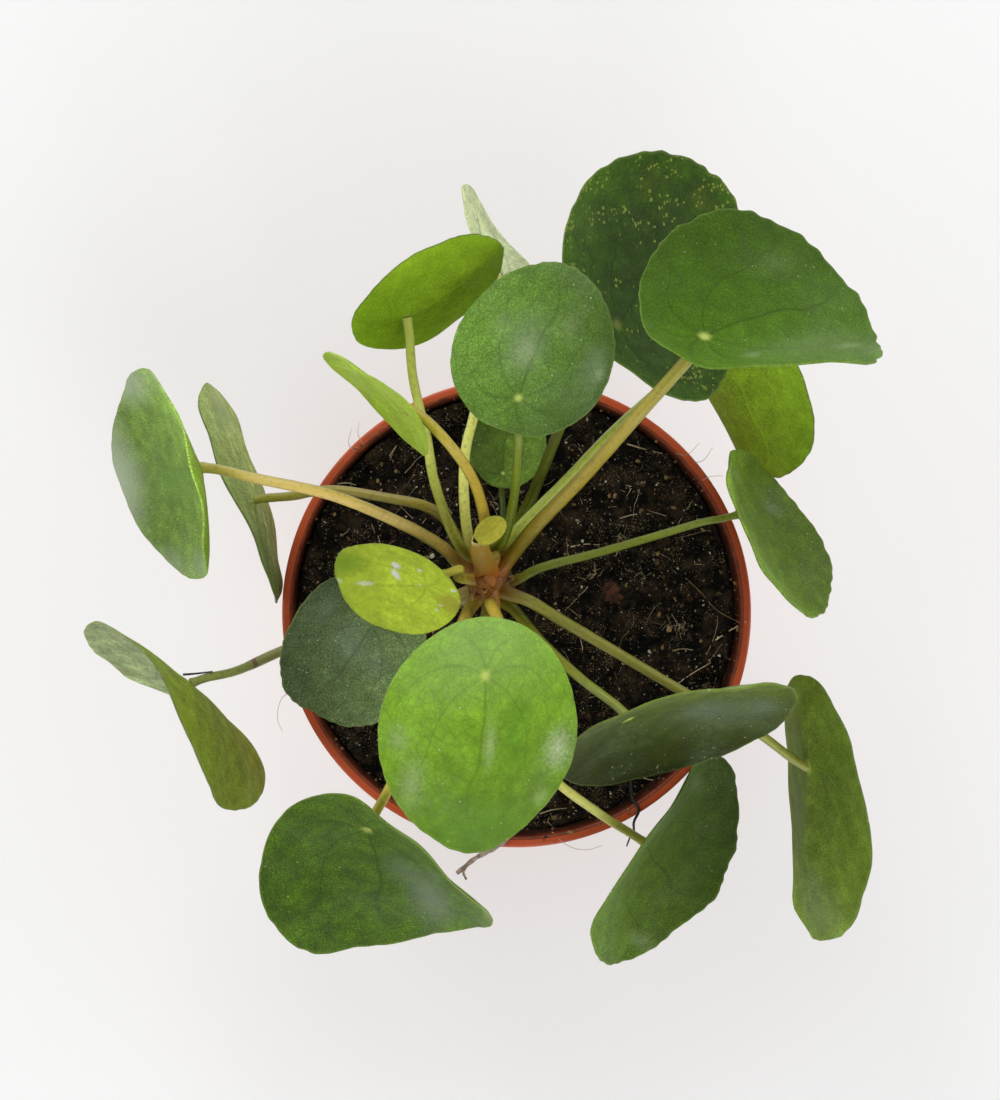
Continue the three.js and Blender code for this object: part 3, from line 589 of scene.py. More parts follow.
def leaf_pattern(tree, leaf):
    """Masks drawn on the blade's own map, in mm from the stalk's spot: where it is, and its veins."""
    size = leaf["long"] / TYPICAL_LENGTH
    flat = add(tree, "ShaderNodeUVMap", uv_map=LEAF_MAP)
    half = MAP_SPAN / 2
    place = add(
        tree, "ShaderNodeVectorMath", {0: flat, 1: (MAP_SPAN, MAP_SPAN, 0), 2: (-half, -half, 0)},
        operation="MULTIPLY_ADD",
    )
    axes = add(tree, "ShaderNodeSeparateXYZ", {0: place})
    radius = add(tree, "ShaderNodeVectorMath", {0: place}, operation="LENGTH").outputs["Value"]
    sway = add(tree, "ShaderNodeTexNoise", {"Vector": place, "Scale": 0.05 / size, "Detail": 1.0})
    angle = add(tree, "ShaderNodeMath", {0: axes.outputs["Y"], 1: axes.outputs["X"]}, operation="ARCTAN2")
    sway = add(tree, "ShaderNodeMath", {0: sway, 1: 0.5}, operation="SUBTRACT")
    angle = add(tree, "ShaderNodeMath", {0: sway, 1: 0.35, 2: angle}, operation="MULTIPLY_ADD")
    angle = add(tree, "ShaderNodeMath", {0: angle}, operation="ABSOLUTE")
    square = add(tree, "ShaderNodeMath", {0: radius, 1: 2.0}, operation="POWER")
    bend = VEIN_BEND / size ** 2
    grow = add(tree, "ShaderNodeMath", {0: square, 1: bend, 2: 1.0}, operation="MULTIPLY_ADD")
    fan = add(tree, "ShaderNodeMath", {0: angle, 1: grow}, operation="MULTIPLY")
    near = add(tree, "ShaderNodeMath", {0: fan, 1: VEIN_SPACING / 2}, operation="PINGPONG")
    away = add(tree, "ShaderNodeMath", {0: near, 1: radius}, operation="MULTIPLY")
    away = add(tree, "ShaderNodeMath", {0: away, 1: grow}, operation="DIVIDE")
    main = add(
        tree, "ShaderNodeMapRange", {0: away, 1: 0.1, 2: 0.5, 3: 1.0, 4: 0.0},
        interpolation_type="SMOOTHSTEP",
    )
    margin = add(tree, "ShaderNodeAttribute", attribute_name=MARGIN).outputs["Fac"]
    fade = add(tree, "ShaderNodeMapRange", {0: margin, 1: 0.6, 2: 0.98, 3: 1.0, 4: 0.0})
    line = main
    main = add(tree, "ShaderNodeMath", {0: main, 1: fade}, operation="MULTIPLY")
    ahead = add(tree, "ShaderNodeMapRange", {0: angle, 1: 0.1, 2: 0.3, 3: 1.0, 4: 0.0})
    reach = add(tree, "ShaderNodeMapRange", {0: margin, 1: 0.8, 2: 1.0, 3: 1.0, 4: 0.0})
    midrib = add(tree, "ShaderNodeMath", {0: line, 1: ahead}, operation="MULTIPLY")
    midrib = add(tree, "ShaderNodeMath", {0: midrib, 1: reach}, operation="MULTIPLY")
    side = add(tree, "ShaderNodeMath", {0: axes.outputs["Y"]}, operation="ABSOLUTE")
    climb = add(tree, "ShaderNodeMath", {0: side, 1: -0.85, 2: axes.outputs["X"]}, operation="MULTIPLY_ADD")
    climb = add(tree, "ShaderNodeMath", {0: sway, 1: 9.0, 2: climb}, operation="MULTIPLY_ADD")
    twigs = add(tree, "ShaderNodeMath", {0: climb, 1: 5.5 * size}, operation="PINGPONG")
    twigs = add(tree, "ShaderNodeMapRange", {0: twigs, 1: 0.1, 2: 0.45, 3: 1.0, 4: 0.0})
    started = add(tree, "ShaderNodeMapRange", {0: climb, 1: 7 * size, 2: 8 * size})
    ended = add(tree, "ShaderNodeMapRange", {0: side, 1: 3 * size, 2: 13 * size, 3: 1.0, 4: 0.0})
    twigs = add(tree, "ShaderNodeMath", {0: twigs, 1: started}, operation="MULTIPLY")
    twigs = add(tree, "ShaderNodeMath", {0: twigs, 1: ended}, operation="MULTIPLY")
    twigs = add(tree, "ShaderNodeMath", {0: twigs, 1: reach}, operation="MULTIPLY")
    rows = add(tree, "ShaderNodeMath", {0: radius, 1: 1 / (6.5 * size)}, operation="MULTIPLY")
    cell = add(tree, "ShaderNodeCombineXYZ", {0: fan, 1: rows})
    net = add(
        tree, "ShaderNodeTexVoronoi", {"Vector": cell, "Scale": 1.7, "Randomness": 0.85},
        voronoi_dimensions="2D", feature="DISTANCE_TO_EDGE",
    )
    net = add(
        tree, "ShaderNodeMapRange", {0: net, 1: 0.0, 2: 0.07, 3: 1.0, 4: 0.0},
        interpolation_type="SMOOTHSTEP",
    )
    fine = add(
        tree, "ShaderNodeTexVoronoi", {"Vector": place, "Scale": 0.5},
        voronoi_dimensions="2D", feature="DISTANCE_TO_EDGE",
    )
    fine = add(tree, "ShaderNodeMapRange", {0: fine, 1: 0.0, 2: 0.16, 3: 1.0, 4: 0.0})
    return {
        "place": place, "axes": axes, "radius": radius, "margin": margin, "main": main, "midrib": midrib,
        "twigs": twigs, "net": net, "fine": fine,
    }


def toned(tree, leaf, pattern, colour):
    """Mottles a leaf's green from broad clouds down to single cells, and paints light and shade over it that
    make it lighter one way.
    """
    reach = 0.5 * leaf["long"]
    to_tip, to_left, to_margin = leaf["lean"]
    crisp, broad = leaf["texture"]
    mottle = add(
        tree, "ShaderNodeTexNoise",
        {"Vector": pattern["place"], "Scale": 0.16, "Detail": 7.0, "Roughness": 0.74},
    )
    grain = add(
        tree, "ShaderNodeTexNoise",
        {"Vector": pattern["place"], "Scale": 2.0, "Detail": 4.0, "Roughness": 0.8},
    )
    field = add(
        tree, "ShaderNodeMath", {0: grain, 1: crisp, 2: -0.5 * (crisp + broad)}, operation="MULTIPLY_ADD",
    )
    field = add(tree, "ShaderNodeMath", {0: mottle, 1: broad, 2: field}, operation="MULTIPLY_ADD")
    # Painted light and shade: the leaf grows lighter or darker towards its tip, its left and its margin.
    for axis, slope in (("X", to_tip / reach), ("Y", to_left / reach)):
        field = add(
            tree, "ShaderNodeMath", {0: pattern["axes"].outputs[axis], 1: slope, 2: field},
            operation="MULTIPLY_ADD",
        )
    square = add(tree, "ShaderNodeMath", {0: pattern["radius"], 1: 2.0}, operation="POWER")
    field = add(
        tree, "ShaderNodeMath", {0: square, 1: to_margin / reach ** 2, 2: field}, operation="MULTIPLY_ADD"
    )
    factor = add(tree, "ShaderNodeMath", {0: field}, operation="EXPONENT")
    return add(tree, "ShaderNodeVectorMath", {0: colour[:3], "Scale": factor}, operation="SCALE")


def spotted(tree, leaf, pattern, colour):
    """Lays a leaf's soft patches of painted sheen and shade over it, then its spots, mostly painted
    highlights
    and sheen with a few tints and stains: crisp on a young leaf, crackled on an old one.
    """
    crisp = leaf["kind"] == "young"
    patches = [(*sheen, -0.8, 0.6, -0.4) for sheen in leaf.get("sheens", ())]
    edges = (-1.2, 0.2, -0.4) if crisp else (-2.4, -0.35, -1.5)
    patches += [(*spot, *edges) for spot in leaf.get("spots", ())]
    crackle = add(
        tree, "ShaderNodeTexNoise",
        {"Vector": pattern["place"], "Scale": 0.9 if crisp else 1.1, "Detail": 7.0, "Roughness": 0.85},
    )
    for x, y, along, across, strength, tone, tear, none, full in patches:
        offset = add(
            tree, "ShaderNodeVectorMath",
            {0: pattern["place"], 1: (1 / along, 1 / across, 1), 2: (-x / along, -y / across, 0)},
            operation="MULTIPLY_ADD",
        )
        away = add(tree, "ShaderNodeVectorMath", {0: offset}, operation="LENGTH").outputs["Value"]
        torn = add(tree, "ShaderNodeMath", {0: crackle, 1: tear, 2: away}, operation="MULTIPLY_ADD")
        patch = add(
            tree, "ShaderNodeMapRange", {0: torn, 1: none, 2: full, 3: 0.0, 4: strength},
            interpolation_type="SMOOTHSTEP",
        )
        # Painted sheen, painted shade and painted highlights, with a few real tints and stains, mixed into
        # the colour.
        colour = add(tree, "ShaderNodeMix", {0: patch, 6: colour, 7: linear(tone)}, data_type="RGBA")
    return colour


def flecked(tree, leaf, pattern, colour):
    """Adds tiny pale flecks of dust and lime scale, thicker in some patches and towards the margin."""
    ragged = add(tree, "ShaderNodeTexNoise", {"Vector": pattern["place"], "Scale": 4.0, "Detail": 2.0})
    ragged = add(
        tree, "ShaderNodeVectorMath", {0: ragged.outputs["Color"], 1: (1.0, 1.0, 0), 2: pattern["place"]},
        operation="MULTIPLY_ADD",
    )
    cells = add(tree, "ShaderNodeTexVoronoi", {"Vector": ragged, "Scale": 1.0}, voronoi_dimensions="2D")
    drawn = add(tree, "ShaderNodeSeparateXYZ", {0: cells.outputs["Color"]})
    patches = add(tree, "ShaderNodeTexNoise", {"Vector": pattern["place"], "Scale": 0.1, "Detail": 2.0})
    patches = add(tree, "ShaderNodeMapRange", {0: patches, 1: 0.42, 2: 0.66})
    outer = add(tree, "ShaderNodeMapRange", {0: pattern["margin"], 1: 0.3, 2: 1.0, 3: 0.2, 4: 1.0})
    crowd = add(tree, "ShaderNodeMath", {0: patches, 1: outer}, operation="MULTIPLY")
    crowd = add(tree, "ShaderNodeMath", {0: crowd, 1: 0.8 * leaf["flecks"]}, operation="MULTIPLY")
    wanted = add(tree, "ShaderNodeMath", {0: drawn.outputs["X"], 1: crowd}, operation="LESS_THAN")
    large = leaf.get("fleck_size", 1)
    size = add(
        tree, "ShaderNodeMapRange", {0: drawn.outputs["Y"], 1: 0.0, 2: 1.0, 3: 0.3 * large, 4: 0.42 * large}
    )
    frayed = add(tree, "ShaderNodeTexNoise", {"Vector": pattern["place"], "Scale": 5 / large, "Detail": 4.0})
    frayed = add(
        tree, "ShaderNodeMath", {0: frayed, 1: 0.5 * large, 2: cells.outputs["Distance"]},
        operation="MULTIPLY_ADD",
    )
    dot = add(tree, "ShaderNodeMath", {0: frayed, 1: size}, operation="LESS_THAN")
    dot = add(tree, "ShaderNodeMath", {0: dot, 1: wanted}, operation="MULTIPLY")
    dot = add(tree, "ShaderNodeMath", {0: dot, 1: 0.85}, operation="MULTIPLY")
    tone = linear(leaf.get("fleck_tone", "#d5dcbc"))
    return add(tree, "ShaderNodeMix", {0: dot, 6: colour, 7: tone}, data_type="RGBA")


def rolled_margin(tree, leaf, pattern, colour):
    """Shows the lighter band where a leaf's margin is rolled over, between two turns about the stalk."""
    start, end = leaf["rolled"]
    turn = add(
        tree, "ShaderNodeMath", {0: pattern["axes"].outputs["Y"], 1: pattern["axes"].outputs["X"]},
        operation="ARCTAN2",
    )
    after = add(tree, "ShaderNodeMapRange", {0: turn, 1: math.radians(start), 2: math.radians(start + 12)})
    before = add(tree, "ShaderNodeMapRange", {0: turn, 1: math.radians(end), 2: math.radians(end - 12)})
    band = add(tree, "ShaderNodeMapRange", {0: pattern["margin"], 1: 0.925, 2: 0.935, 3: 0.0, 4: 0.85})
    band = add(tree, "ShaderNodeMath", {0: band, 1: after}, operation="MULTIPLY")
    band = add(tree, "ShaderNodeMath", {0: band, 1: before}, operation="MULTIPLY")
    return add(tree, "ShaderNodeMix", {0: band, 6: colour, 7: linear("#7d9440")}, data_type="RGBA")


def leaf_material(name, leaf, side):
    """Living leaf. The upper face has a waxy skin, so it is smooth and bright where the light is, with
    whitish patches, partly a waxy film and partly painted sheen. Both faces carry painted light and shade,
    painted sheens and highlights, and a painted highlight along the margin. The underside is paler and
    matte, with painted light shining through near its margin. Veins are drawn a little wider than the 0.2 mm
    they are, to show."""
    upper = side == "upper"
    material, tree = new_material(f"Pilea leaf, {side} face, {name}")
    base = linear(leaf[side])
    size = leaf["long"] / TYPICAL_LENGTH
    pattern = leaf_pattern(tree, leaf)
    place = pattern["place"]
    colour = toned(tree, leaf, pattern, base)
    if not upper:
        # Painted light: the underside lightens towards its margin, as if light shone through it.
        thin = add(tree, "ShaderNodeMapRange", {0: pattern["margin"], 1: 0.35, 2: 1.0, 3: 0.0, 4: 0.25})
        colour = add(tree, "ShaderNodeMix", {0: thin, 6: colour, 7: shade(base, 1.45)}, data_type="RGBA")
    for mask, strength in (("fine", 0.22), ("net", 0.32), ("twigs", 0.34), ("main", 0.38), ("midrib", 0.3)):
        strength *= leaf.get("veins", 1)
        amount = add(tree, "ShaderNodeMath", {0: pattern[mask], 1: strength}, operation="MULTIPLY")
        vein = shade(base, 0.5 if upper else 1.4)
        colour = add(tree, "ShaderNodeMix", {0: amount, 6: colour, 7: vein}, data_type="RGBA")
    if upper:
        colour = filmed_and_sheened(tree, leaf, pattern, colour)
    if "rolled" in leaf:
        colour = rolled_margin(tree, leaf, pattern, colour)
    colour = spotted(tree, leaf, pattern, colour)
    # Painted highlight: a thin pale line along the margin.
    edge = add(tree, "ShaderNodeMapRange", {0: pattern["margin"], 1: 0.98, 2: 0.998, 3: 0.0, 4: 0.3})
    colour = add(tree, "ShaderNodeMix", {0: edge, 6: colour, 7: linear("#93a852")}, data_type="RGBA")
    glow = add(
        tree, "ShaderNodeMapRange", {0: pattern["radius"], 1: 0.1, 2: 3.0 * size, 3: 1.0, 4: 0.0},
        interpolation_type="SMOOTHERSTEP",
    )
    glow = add(tree, "ShaderNodeMath", {0: glow, 1: 2.0}, operation="POWER")
    glow = add(tree, "ShaderNodeMath", {0: glow, 1: leaf.get("glow", 0.95)}, operation="MULTIPLY")
    colour = add(tree, "ShaderNodeMix", {0: glow, 6: colour, 7: linear("#d6e676")}, data_type="RGBA")
    if upper:
        colour = flecked(tree, leaf, pattern, colour)
    ribs = add(
        tree, "ShaderNodeMath", {0: pattern["net"], 1: 0.5, 2: pattern["main"]}, operation="MULTIPLY_ADD"
    )
    ribs = add(tree, "ShaderNodeMath", {0: pattern["fine"], 1: 0.3, 2: ribs}, operation="MULTIPLY_ADD")
    skin = add(tree, "ShaderNodeTexNoise", {"Vector": place, "Scale": 0.8, "Detail": 6.0, "Roughness": 0.8})
    height = add(tree, "ShaderNodeMath", {0: skin, 1: -4.0, 2: ribs}, operation="MULTIPLY_ADD")
    bump = add(
        tree, "ShaderNodeBump", {"Height": height, "Strength": 0.75, "Distance": 0.0004}, invert=upper
    )
    rough = leaf["gloss"] if upper else 0.62
    worn = add(tree, "ShaderNodeTexNoise", {"Vector": place, "Scale": 0.12, "Detail": 5.0, "Roughness": 0.7})
    worn = add(tree, "ShaderNodeMapRange", {0: worn, 1: 0.3, 2: 0.7, 3: rough - 0.07, 4: rough + 0.12})
    surface(tree, {
        "Base Color": colour, "Roughness": worn, "IOR": 1.45, "Normal": bump,
        "Specular IOR Level": 0.2 if upper else 0.12,
    })
    return material


def filmed_and_sheened(tree, leaf, pattern, colour):
    """Lays whitish soft-edged patches at random over a leaf's upper face: partly a waxy film and dried
    water, partly painted sheen.
    """
    patches = add(
        tree, "ShaderNodeTexNoise",
        {"Vector": pattern["place"], "Scale": 0.045, "Detail": 5.0, "Roughness": 0.55, "Distortion": 0.4},
    )
    patches = add(tree, "ShaderNodeMapRange", {0: patches, 1: 0.47, 2: 0.66})
    scratch = add(
        tree, "ShaderNodeTexNoise",
        {"Vector": pattern["place"], "Scale": 0.7, "Detail": 6.0, "Roughness": 0.8},
    )
    scratch = add(tree, "ShaderNodeMapRange", {0: scratch, 1: 0.4, 2: 0.62, 3: 0.1, 4: 1.0})
    film_and_sheen = add(tree, "ShaderNodeMath", {0: patches, 1: scratch}, operation="MULTIPLY")
    film_and_sheen = add(tree, "ShaderNodeMath", {0: film_and_sheen, 1: 0.3 * leaf["wax_and_sheen"]}, operation="MULTIPLY")
    # Whitish patches, partly waxy film and partly painted sheen, mixed into the colour.
    return add(tree, "ShaderNodeMix", {0: film_and_sheen, 6: colour, 7: linear("#a9bb9c")}, data_type="RGBA")


# Stalks

ALONG = "along"
FROM_TRUNK = "from_trunk"
SCALE_MAP = "scale"
GAP = 0.3


def trunk_centre(height):
    """The middle of the leaning trunk at a height."""
    share = (height - TRUNK_FOOT.z) / (CROWN_TOP.z - TRUNK_FOOT.z)
    return TRUNK_FOOT.lerp(CROWN_TOP, share)


def trunk_radius(height):
    """The trunk's radius at a height, without its scars."""
    share = min((height - TRUNK_FOOT.z) / (CROWN_HEIGHT - TRUNK_FOOT.z), 1)
    return TRUNK_FOOT_RADIUS + (TRUNK_CROWN_RADIUS - TRUNK_FOOT_RADIUS) * share


def smooth_route(points, steps):
    """Points of a smooth curve through the given ones, which doesn't overshoot at uneven spacing."""
    points = [np.array(p, dtype=float) for p in points]
    points = [2 * points[0] - points[1]] + points + [2 * points[-1] - points[-2]]
    route = []
    for i in range(1, len(points) - 2):
        before, a, b, after = points[i - 1:i + 3]
        t0, t1, t2 = (np.sqrt(np.linalg.norm(q - p)) for p, q in ((before, a), (a, b), (b, after)))
        leave = ((a - before) / t0 - (b - before) / (t0 + t1) + (b - a) / t1) * t1
        reach = ((b - a) / t1 - (after - a) / (t1 + t2) + (after - b) / t2) * t1
        for step in range(steps):
            t = step / steps
            route.append(
                a + leave * t + (-3 * a + 3 * b - 2 * leave - reach) * t ** 2
                + (2 * a - 2 * b + leave + reach) * t ** 3
            )
    route.append(points[-2])
    return np.array(route)


def stalk_route(leaf):
    """The stalk's middle line, from inside the trunk's bark to the underside of its blade."""
    turn, height = leaf["base"]
    away = Vector((math.cos(math.radians(turn)), math.sin(math.radians(turn)), 0))
    axis = trunk_centre(height)
    set_off = (Vector(leaf["via"][0]) - axis).normalized()
    slant = math.sqrt(max(0, 1 - set_off.dot(away) ** 2))
    start = axis + away * (trunk_radius(height) + 1.5 * GAP + slant * leaf["thick"][0] / 2)
    root = trunk_centre(height - 3) + away * 1.2
    spot = Vector(leaf["at"])
    turned = Euler([math.radians(leaf[key]) for key in ("roll", "dip", "heading")]).to_matrix()
    normal = turned @ Vector((0, 0, 1))
    arrival = ((spot - Vector(leaf["via"][-1])).normalized() + 0.12 * normal).normalized()
    dimple = DIMPLE_DEPTH * leaf["long"] / TYPICAL_LENGTH
    end = spot - normal * (dimple + leaf.get("seat", 0.5))
    approach = end - arrival * 4
    return smooth_route([root, start, *leaf["via"], approach, end], 8)


def tube(name, routes, roundness=4, seed=0):
    """A mesh of round bars, each along its own route with its own radii, in mm."""
    rng = random.Random(seed)
    curve = bpy.data.curves.new(name, "CURVE")
    curve.dimensions = "3D"
    curve.bevel_depth = MM
    curve.bevel_resolution = roundness
    curve.use_fill_caps = True
    for points, radii in routes:
        spline = curve.splines.new("POLY")
        spline.points.add(len(points) - 1)
        for point, place, radius in zip(spline.points, points, radii):
            point.co = (*(np.array(place) * MM), 1)
            point.radius = radius
    bar = bpy.data.objects.new(name, curve)
    bpy.context.scene.collection.objects.link(bar)
    select_only(bar)
    bpy.ops.object.convert(target="MESH")
    bpy.ops.object.shade_smooth()
    bar = bpy.context.object
    picks, nearest = [], kdtree.KDTree(sum(len(points) for points, _ in routes))
    for points, _ in routes:
        drawn = rng.random()
        for point in points:
            nearest.insert(Vector(point) * MM, len(picks))
            picks.append(drawn)
    nearest.balance()
    spread = [picks[nearest.find(vertex.co)[1]] for vertex in bar.data.vertices]
    bar.data.attributes.new(PICK, "FLOAT", "POINT").data.foreach_set("value", spread)
    return bar


def shaped_stalk(name, leaf, seed):
    """One stalk: thick where it leaves the trunk, thin behind the blade, and flared where it joins it."""
    route = stalk_route(leaf)
    lengths = np.concatenate([[0], np.cumsum(np.linalg.norm(np.diff(route, axis=0), axis=1))])
    share = lengths / lengths[-1]
    thick, thin = leaf["thick"]
    radii = (thick + (thin - thick) * np.sqrt(share)) / 2
    if "joint" in leaf:
        swollen = np.exp(-((share - leaf["joint"]) / 0.012) ** 2)
        radii *= 1 + 0.15 * swollen + 0.12 * (share < leaf["joint"])
    radii *= 1 + 0.3 * np.exp(-(lengths / 6) ** 2) + 0.2 * np.exp(-((lengths[-1] - lengths) / 1.1) ** 2)
    rng = random.Random(seed)
    radii *= 1 + 0.015 * np.sin(lengths * 0.9 + rng.uniform(0, 6))
    piece = tube(f"petiole_{name}", [(route, radii)])
    mesh = piece.data
    place = np.empty(len(mesh.vertices) * 3)
    mesh.vertices.foreach_get("co", place)
    nearest = ((place.reshape(-1, 1, 3) / MM - route[None]) ** 2).sum(-1).argmin(1)
    mesh.attributes.new(ALONG, "FLOAT", "POINT").data.foreach_set("value", share[nearest])
    mesh.attributes.new(FROM_TRUNK, "FLOAT", "POINT").data.foreach_set("value", lengths[nearest])
    return piece


def stalk_material(name, leaf):
    """Fleshy leaf stalk: juicy and smooth with a soft shine, orange-brown at its base, with faint streaks,
    and greener near its blade. A painted highlight lightens its top and painted shade darkens its underside."""
    material, tree = new_material(f"Pilea stalk, {name}")
    tone = linear(leaf["stalk_tone"])
    amber = leaf["stem"] == "amber"
    along = add(tree, "ShaderNodeAttribute", attribute_name=ALONG).outputs["Fac"]
    grown = add(tree, "ShaderNodeAttribute", attribute_name=FROM_TRUNK).outputs["Fac"]
    place = add(tree, "ShaderNodeTexCoord").outputs["Object"]
    blush = add(
        tree, "ShaderNodeTexNoise",
        {"Vector": place, "Scale": 110.0, "Detail": 7.0, "Roughness": 0.72},
    )
    mottle = add(tree, "ShaderNodeMapRange", {0: blush, 1: 0.3, 2: 0.7})
    colour = add(
        tree, "ShaderNodeMix", {0: mottle, 6: shade(tone, 0.72), 7: shade(tone, 1.25)}, data_type="RGBA",
    )
    bare = add(tree, "ShaderNodeNewGeometry").outputs["Normal"]
    up = add(tree, "ShaderNodeSeparateXYZ", {0: bare})
    # Painted highlight: the stalk is lightened where it faces up.
    lit = add(tree, "ShaderNodeMapRange", {0: up.outputs["Z"], 1: 0.2, 2: 1.0, 3: 0.0, 4: 0.8})
    colour = add(tree, "ShaderNodeMix", {0: lit, 6: colour, 7: shade(tone, 1.35)}, data_type="RGBA")
    # Painted shade: the stalk is darkened where it faces down.
    shadow = add(tree, "ShaderNodeMapRange", {0: up.outputs["Z"], 1: 0.5, 2: 0.0, 3: 0.0, 4: 0.8})
    colour = add(tree, "ShaderNodeMix", {0: shadow, 6: colour, 7: shade(tone, 0.42)}, data_type="RGBA")
    shift = add(tree, "ShaderNodeMath", {0: blush, 1: 0.5, 2: -0.25}, operation="MULTIPLY_ADD")
    where = add(tree, "ShaderNodeMath", {0: along, 1: shift}, operation="ADD")
    green = add(tree, "ShaderNodeMapRange", {0: where, 1: 0.65, 2: 1.0, 3: 0.0, 4: 0.5})
    colour = add(tree, "ShaderNodeMix", {0: green, 6: colour, 7: linear("#8c9a3c")}, data_type="RGBA")
    ragged = add(tree, "ShaderNodeMath", {0: blush, 1: 8.0, 2: grown}, operation="MULTIPLY_ADD")
    span = min(1, (Vector(leaf["at"]) - CROWN_TOP).length / 40)
    foot = add(tree, "ShaderNodeMapRange", {0: ragged, 1: 4 + 4 * span, 2: 5 + 11 * span, 3: 0.9, 4: 0.0})
    young, old = linear("#a8642a"), linear("#86601f")
    colour = add(tree, "ShaderNodeMix", {0: foot, 6: colour, 7: young if amber else old}, data_type="RGBA")
    if "joint" in leaf:
        frayed = add(tree, "ShaderNodeMath", {0: blush, 1: 0.06, 2: along}, operation="MULTIPLY_ADD")
        older = add(tree, "ShaderNodeMath", {0: frayed, 1: leaf["joint"] + 0.03}, operation="LESS_THAN")
        older = add(tree, "ShaderNodeMath", {0: older, 1: 0.5}, operation="MULTIPLY")
        colour = add(tree, "ShaderNodeMix", {0: older, 6: colour, 7: linear("#a9a070")}, data_type="RGBA")
        ring = add(
            tree, "ShaderNodeMath", {0: frayed, 1: leaf["joint"] + 0.03, 2: 0.006}, operation="COMPARE"
        )
        colour = add(tree, "ShaderNodeMix", {0: ring, 6: colour, 7: linear("#806244")}, data_type="RGBA")
    speck = add(tree, "ShaderNodeTexNoise", {"Vector": place, "Scale": 900.0, "Detail": 2.0})
    speck = add(tree, "ShaderNodeMapRange", {0: speck, 1: 0.52, 2: 0.72, 3: 0.0, 4: 0.45})
    colour = add(tree, "ShaderNodeMix", {0: speck, 6: colour, 7: shade(tone, 0.5)}, data_type="RGBA")
    streak = add(tree, "ShaderNodeMath", {0: speck, 1: 0.5, 2: blush}, operation="MULTIPLY_ADD")
    bump = add(tree, "ShaderNodeBump", {"Height": streak, "Strength": 0.35, "Distance": 0.0003})
    surface(tree, {
        "Base Color": colour, "Roughness": 0.3, "IOR": 1.42, "Normal": bump, "Specular IOR Level": 0.5,
    })
    return material


# Trunk and crown

THINS_FROM = 122
BARK_INSET = 0.3
SCAR_SPACING = 4.6


def visible_radius(height):
    """The bare trunk's radius: it thins to a blunt tip among the youngest stalks."""
    if height < THINS_FROM:
        return trunk_radius(height) - BARK_INSET
    share = (height - THINS_FROM) / (CROWN_TOP.z - THINS_FROM)
    return (trunk_radius(THINS_FROM) - BARK_INSET) * math.sqrt(max(1 - share, 0.01))


def trunk_material():
    """Young woody bark: thin, dull and brown, mottled with paler corky patches. Near the crown it is
    still soft and reddish-orange."""
    material, tree = new_material("Pilea bark")
    place = add(tree, "ShaderNodeTexCoord").outputs["Object"]
    up = add(tree, "ShaderNodeSeparateXYZ", {0: place})
    crown = add(tree, "ShaderNodeMapRange", {0: up.outputs["Z"], 1: 0.128, 2: 0.14})
    patch = add(
        tree, "ShaderNodeTexNoise",
        {"Vector": place, "Scale": 260.0, "Detail": 5.0, "Roughness": 0.65},
    )
    patch = add(tree, "ShaderNodeMapRange", {0: patch, 1: 0.3, 2: 0.7})
    wood = add(
        tree, "ShaderNodeMix", {0: patch, 6: linear("#3c2a1b"), 7: linear("#84633f")}, data_type="RGBA",
    )
    young = add(
        tree, "ShaderNodeMix", {0: patch, 6: linear("#70390f"), 7: linear("#c07a2c")}, data_type="RGBA",
    )
    colour = add(tree, "ShaderNodeMix", {0: crown, 6: wood, 7: young}, data_type="RGBA")
    stretched = add(tree, "ShaderNodeMapping", {"Vector": place, "Scale": (1.0, 1.0, 0.25)})
    cracks = add(tree, "ShaderNodeTexNoise", {"Vector": stretched, "Scale": 700.0, "Detail": 4.0})
    bump = add(tree, "ShaderNodeBump", {"Height": cracks, "Strength": 0.7, "Distance": 0.0005})
    surface(tree, {"Base Color": colour, "Roughness": 0.7, "Normal": bump})
    return material


def shaped_trunk(settings):
    """The trunk as a column whose rings swell at each old leaf joint, with a tapering, knobbly crown."""
    sides, rings = 64, 130
    bpy.ops.object.select_all(action="DESELECT")
    bpy.ops.mesh.primitive_cylinder_add(vertices=sides, radius=1, depth=2, end_fill_type="TRIFAN")
    piece = bpy.context.object
    piece.name = "bark"
    bpy.ops.object.mode_set(mode="EDIT")
    bpy.ops.mesh.select_mode(type="EDGE")
    bpy.ops.mesh.select_all(action="DESELECT")
    bpy.ops.object.mode_set(mode="OBJECT")
    for edge in piece.data.edges:
        low, high = (piece.data.vertices[i].co.z for i in edge.vertices)
        edge.select = abs(low - high) > 1
    bpy.ops.object.mode_set(mode="EDIT")
    bpy.ops.mesh.subdivide(number_cuts=rings)
    bpy.ops.object.mode_set(mode="OBJECT")
    for vertex in piece.data.vertices:
        share = (vertex.co.z + 1) / 2
        height = TRUNK_FOOT.z + (CROWN_TOP.z - TRUNK_FOOT.z) * share
        turn = math.atan2(vertex.co.y, vertex.co.x)
        joint = math.sin(2 * math.pi * height / SCAR_SPACING + 0.6 * math.sin(turn + height * 0.4))
        radius = visible_radius(height) + settings.scar_relief / MM * max(joint, -0.3) ** 3
        radius += 0.5 * noise.noise(Vector((3 * math.cos(turn), 3 * math.sin(turn), height * 0.5)))
        radius = max(radius, 0.4) * math.hypot(vertex.co.x, vertex.co.y)
        centre = trunk_centre(height)
        vertex.co = (centre + Vector((radius * math.cos(turn), radius * math.sin(turn), 0))) * MM
    bpy.ops.object.shade_smooth()
    return piece


def skin_faces(steps, across):
    """Faces of a skin whose corners are given row by row, across of them in each row."""
    return [
        (a, a + 1, a + across + 1, a + across)
        for row in range(steps) for a in range(row * across, row * across + across - 1)
    ]


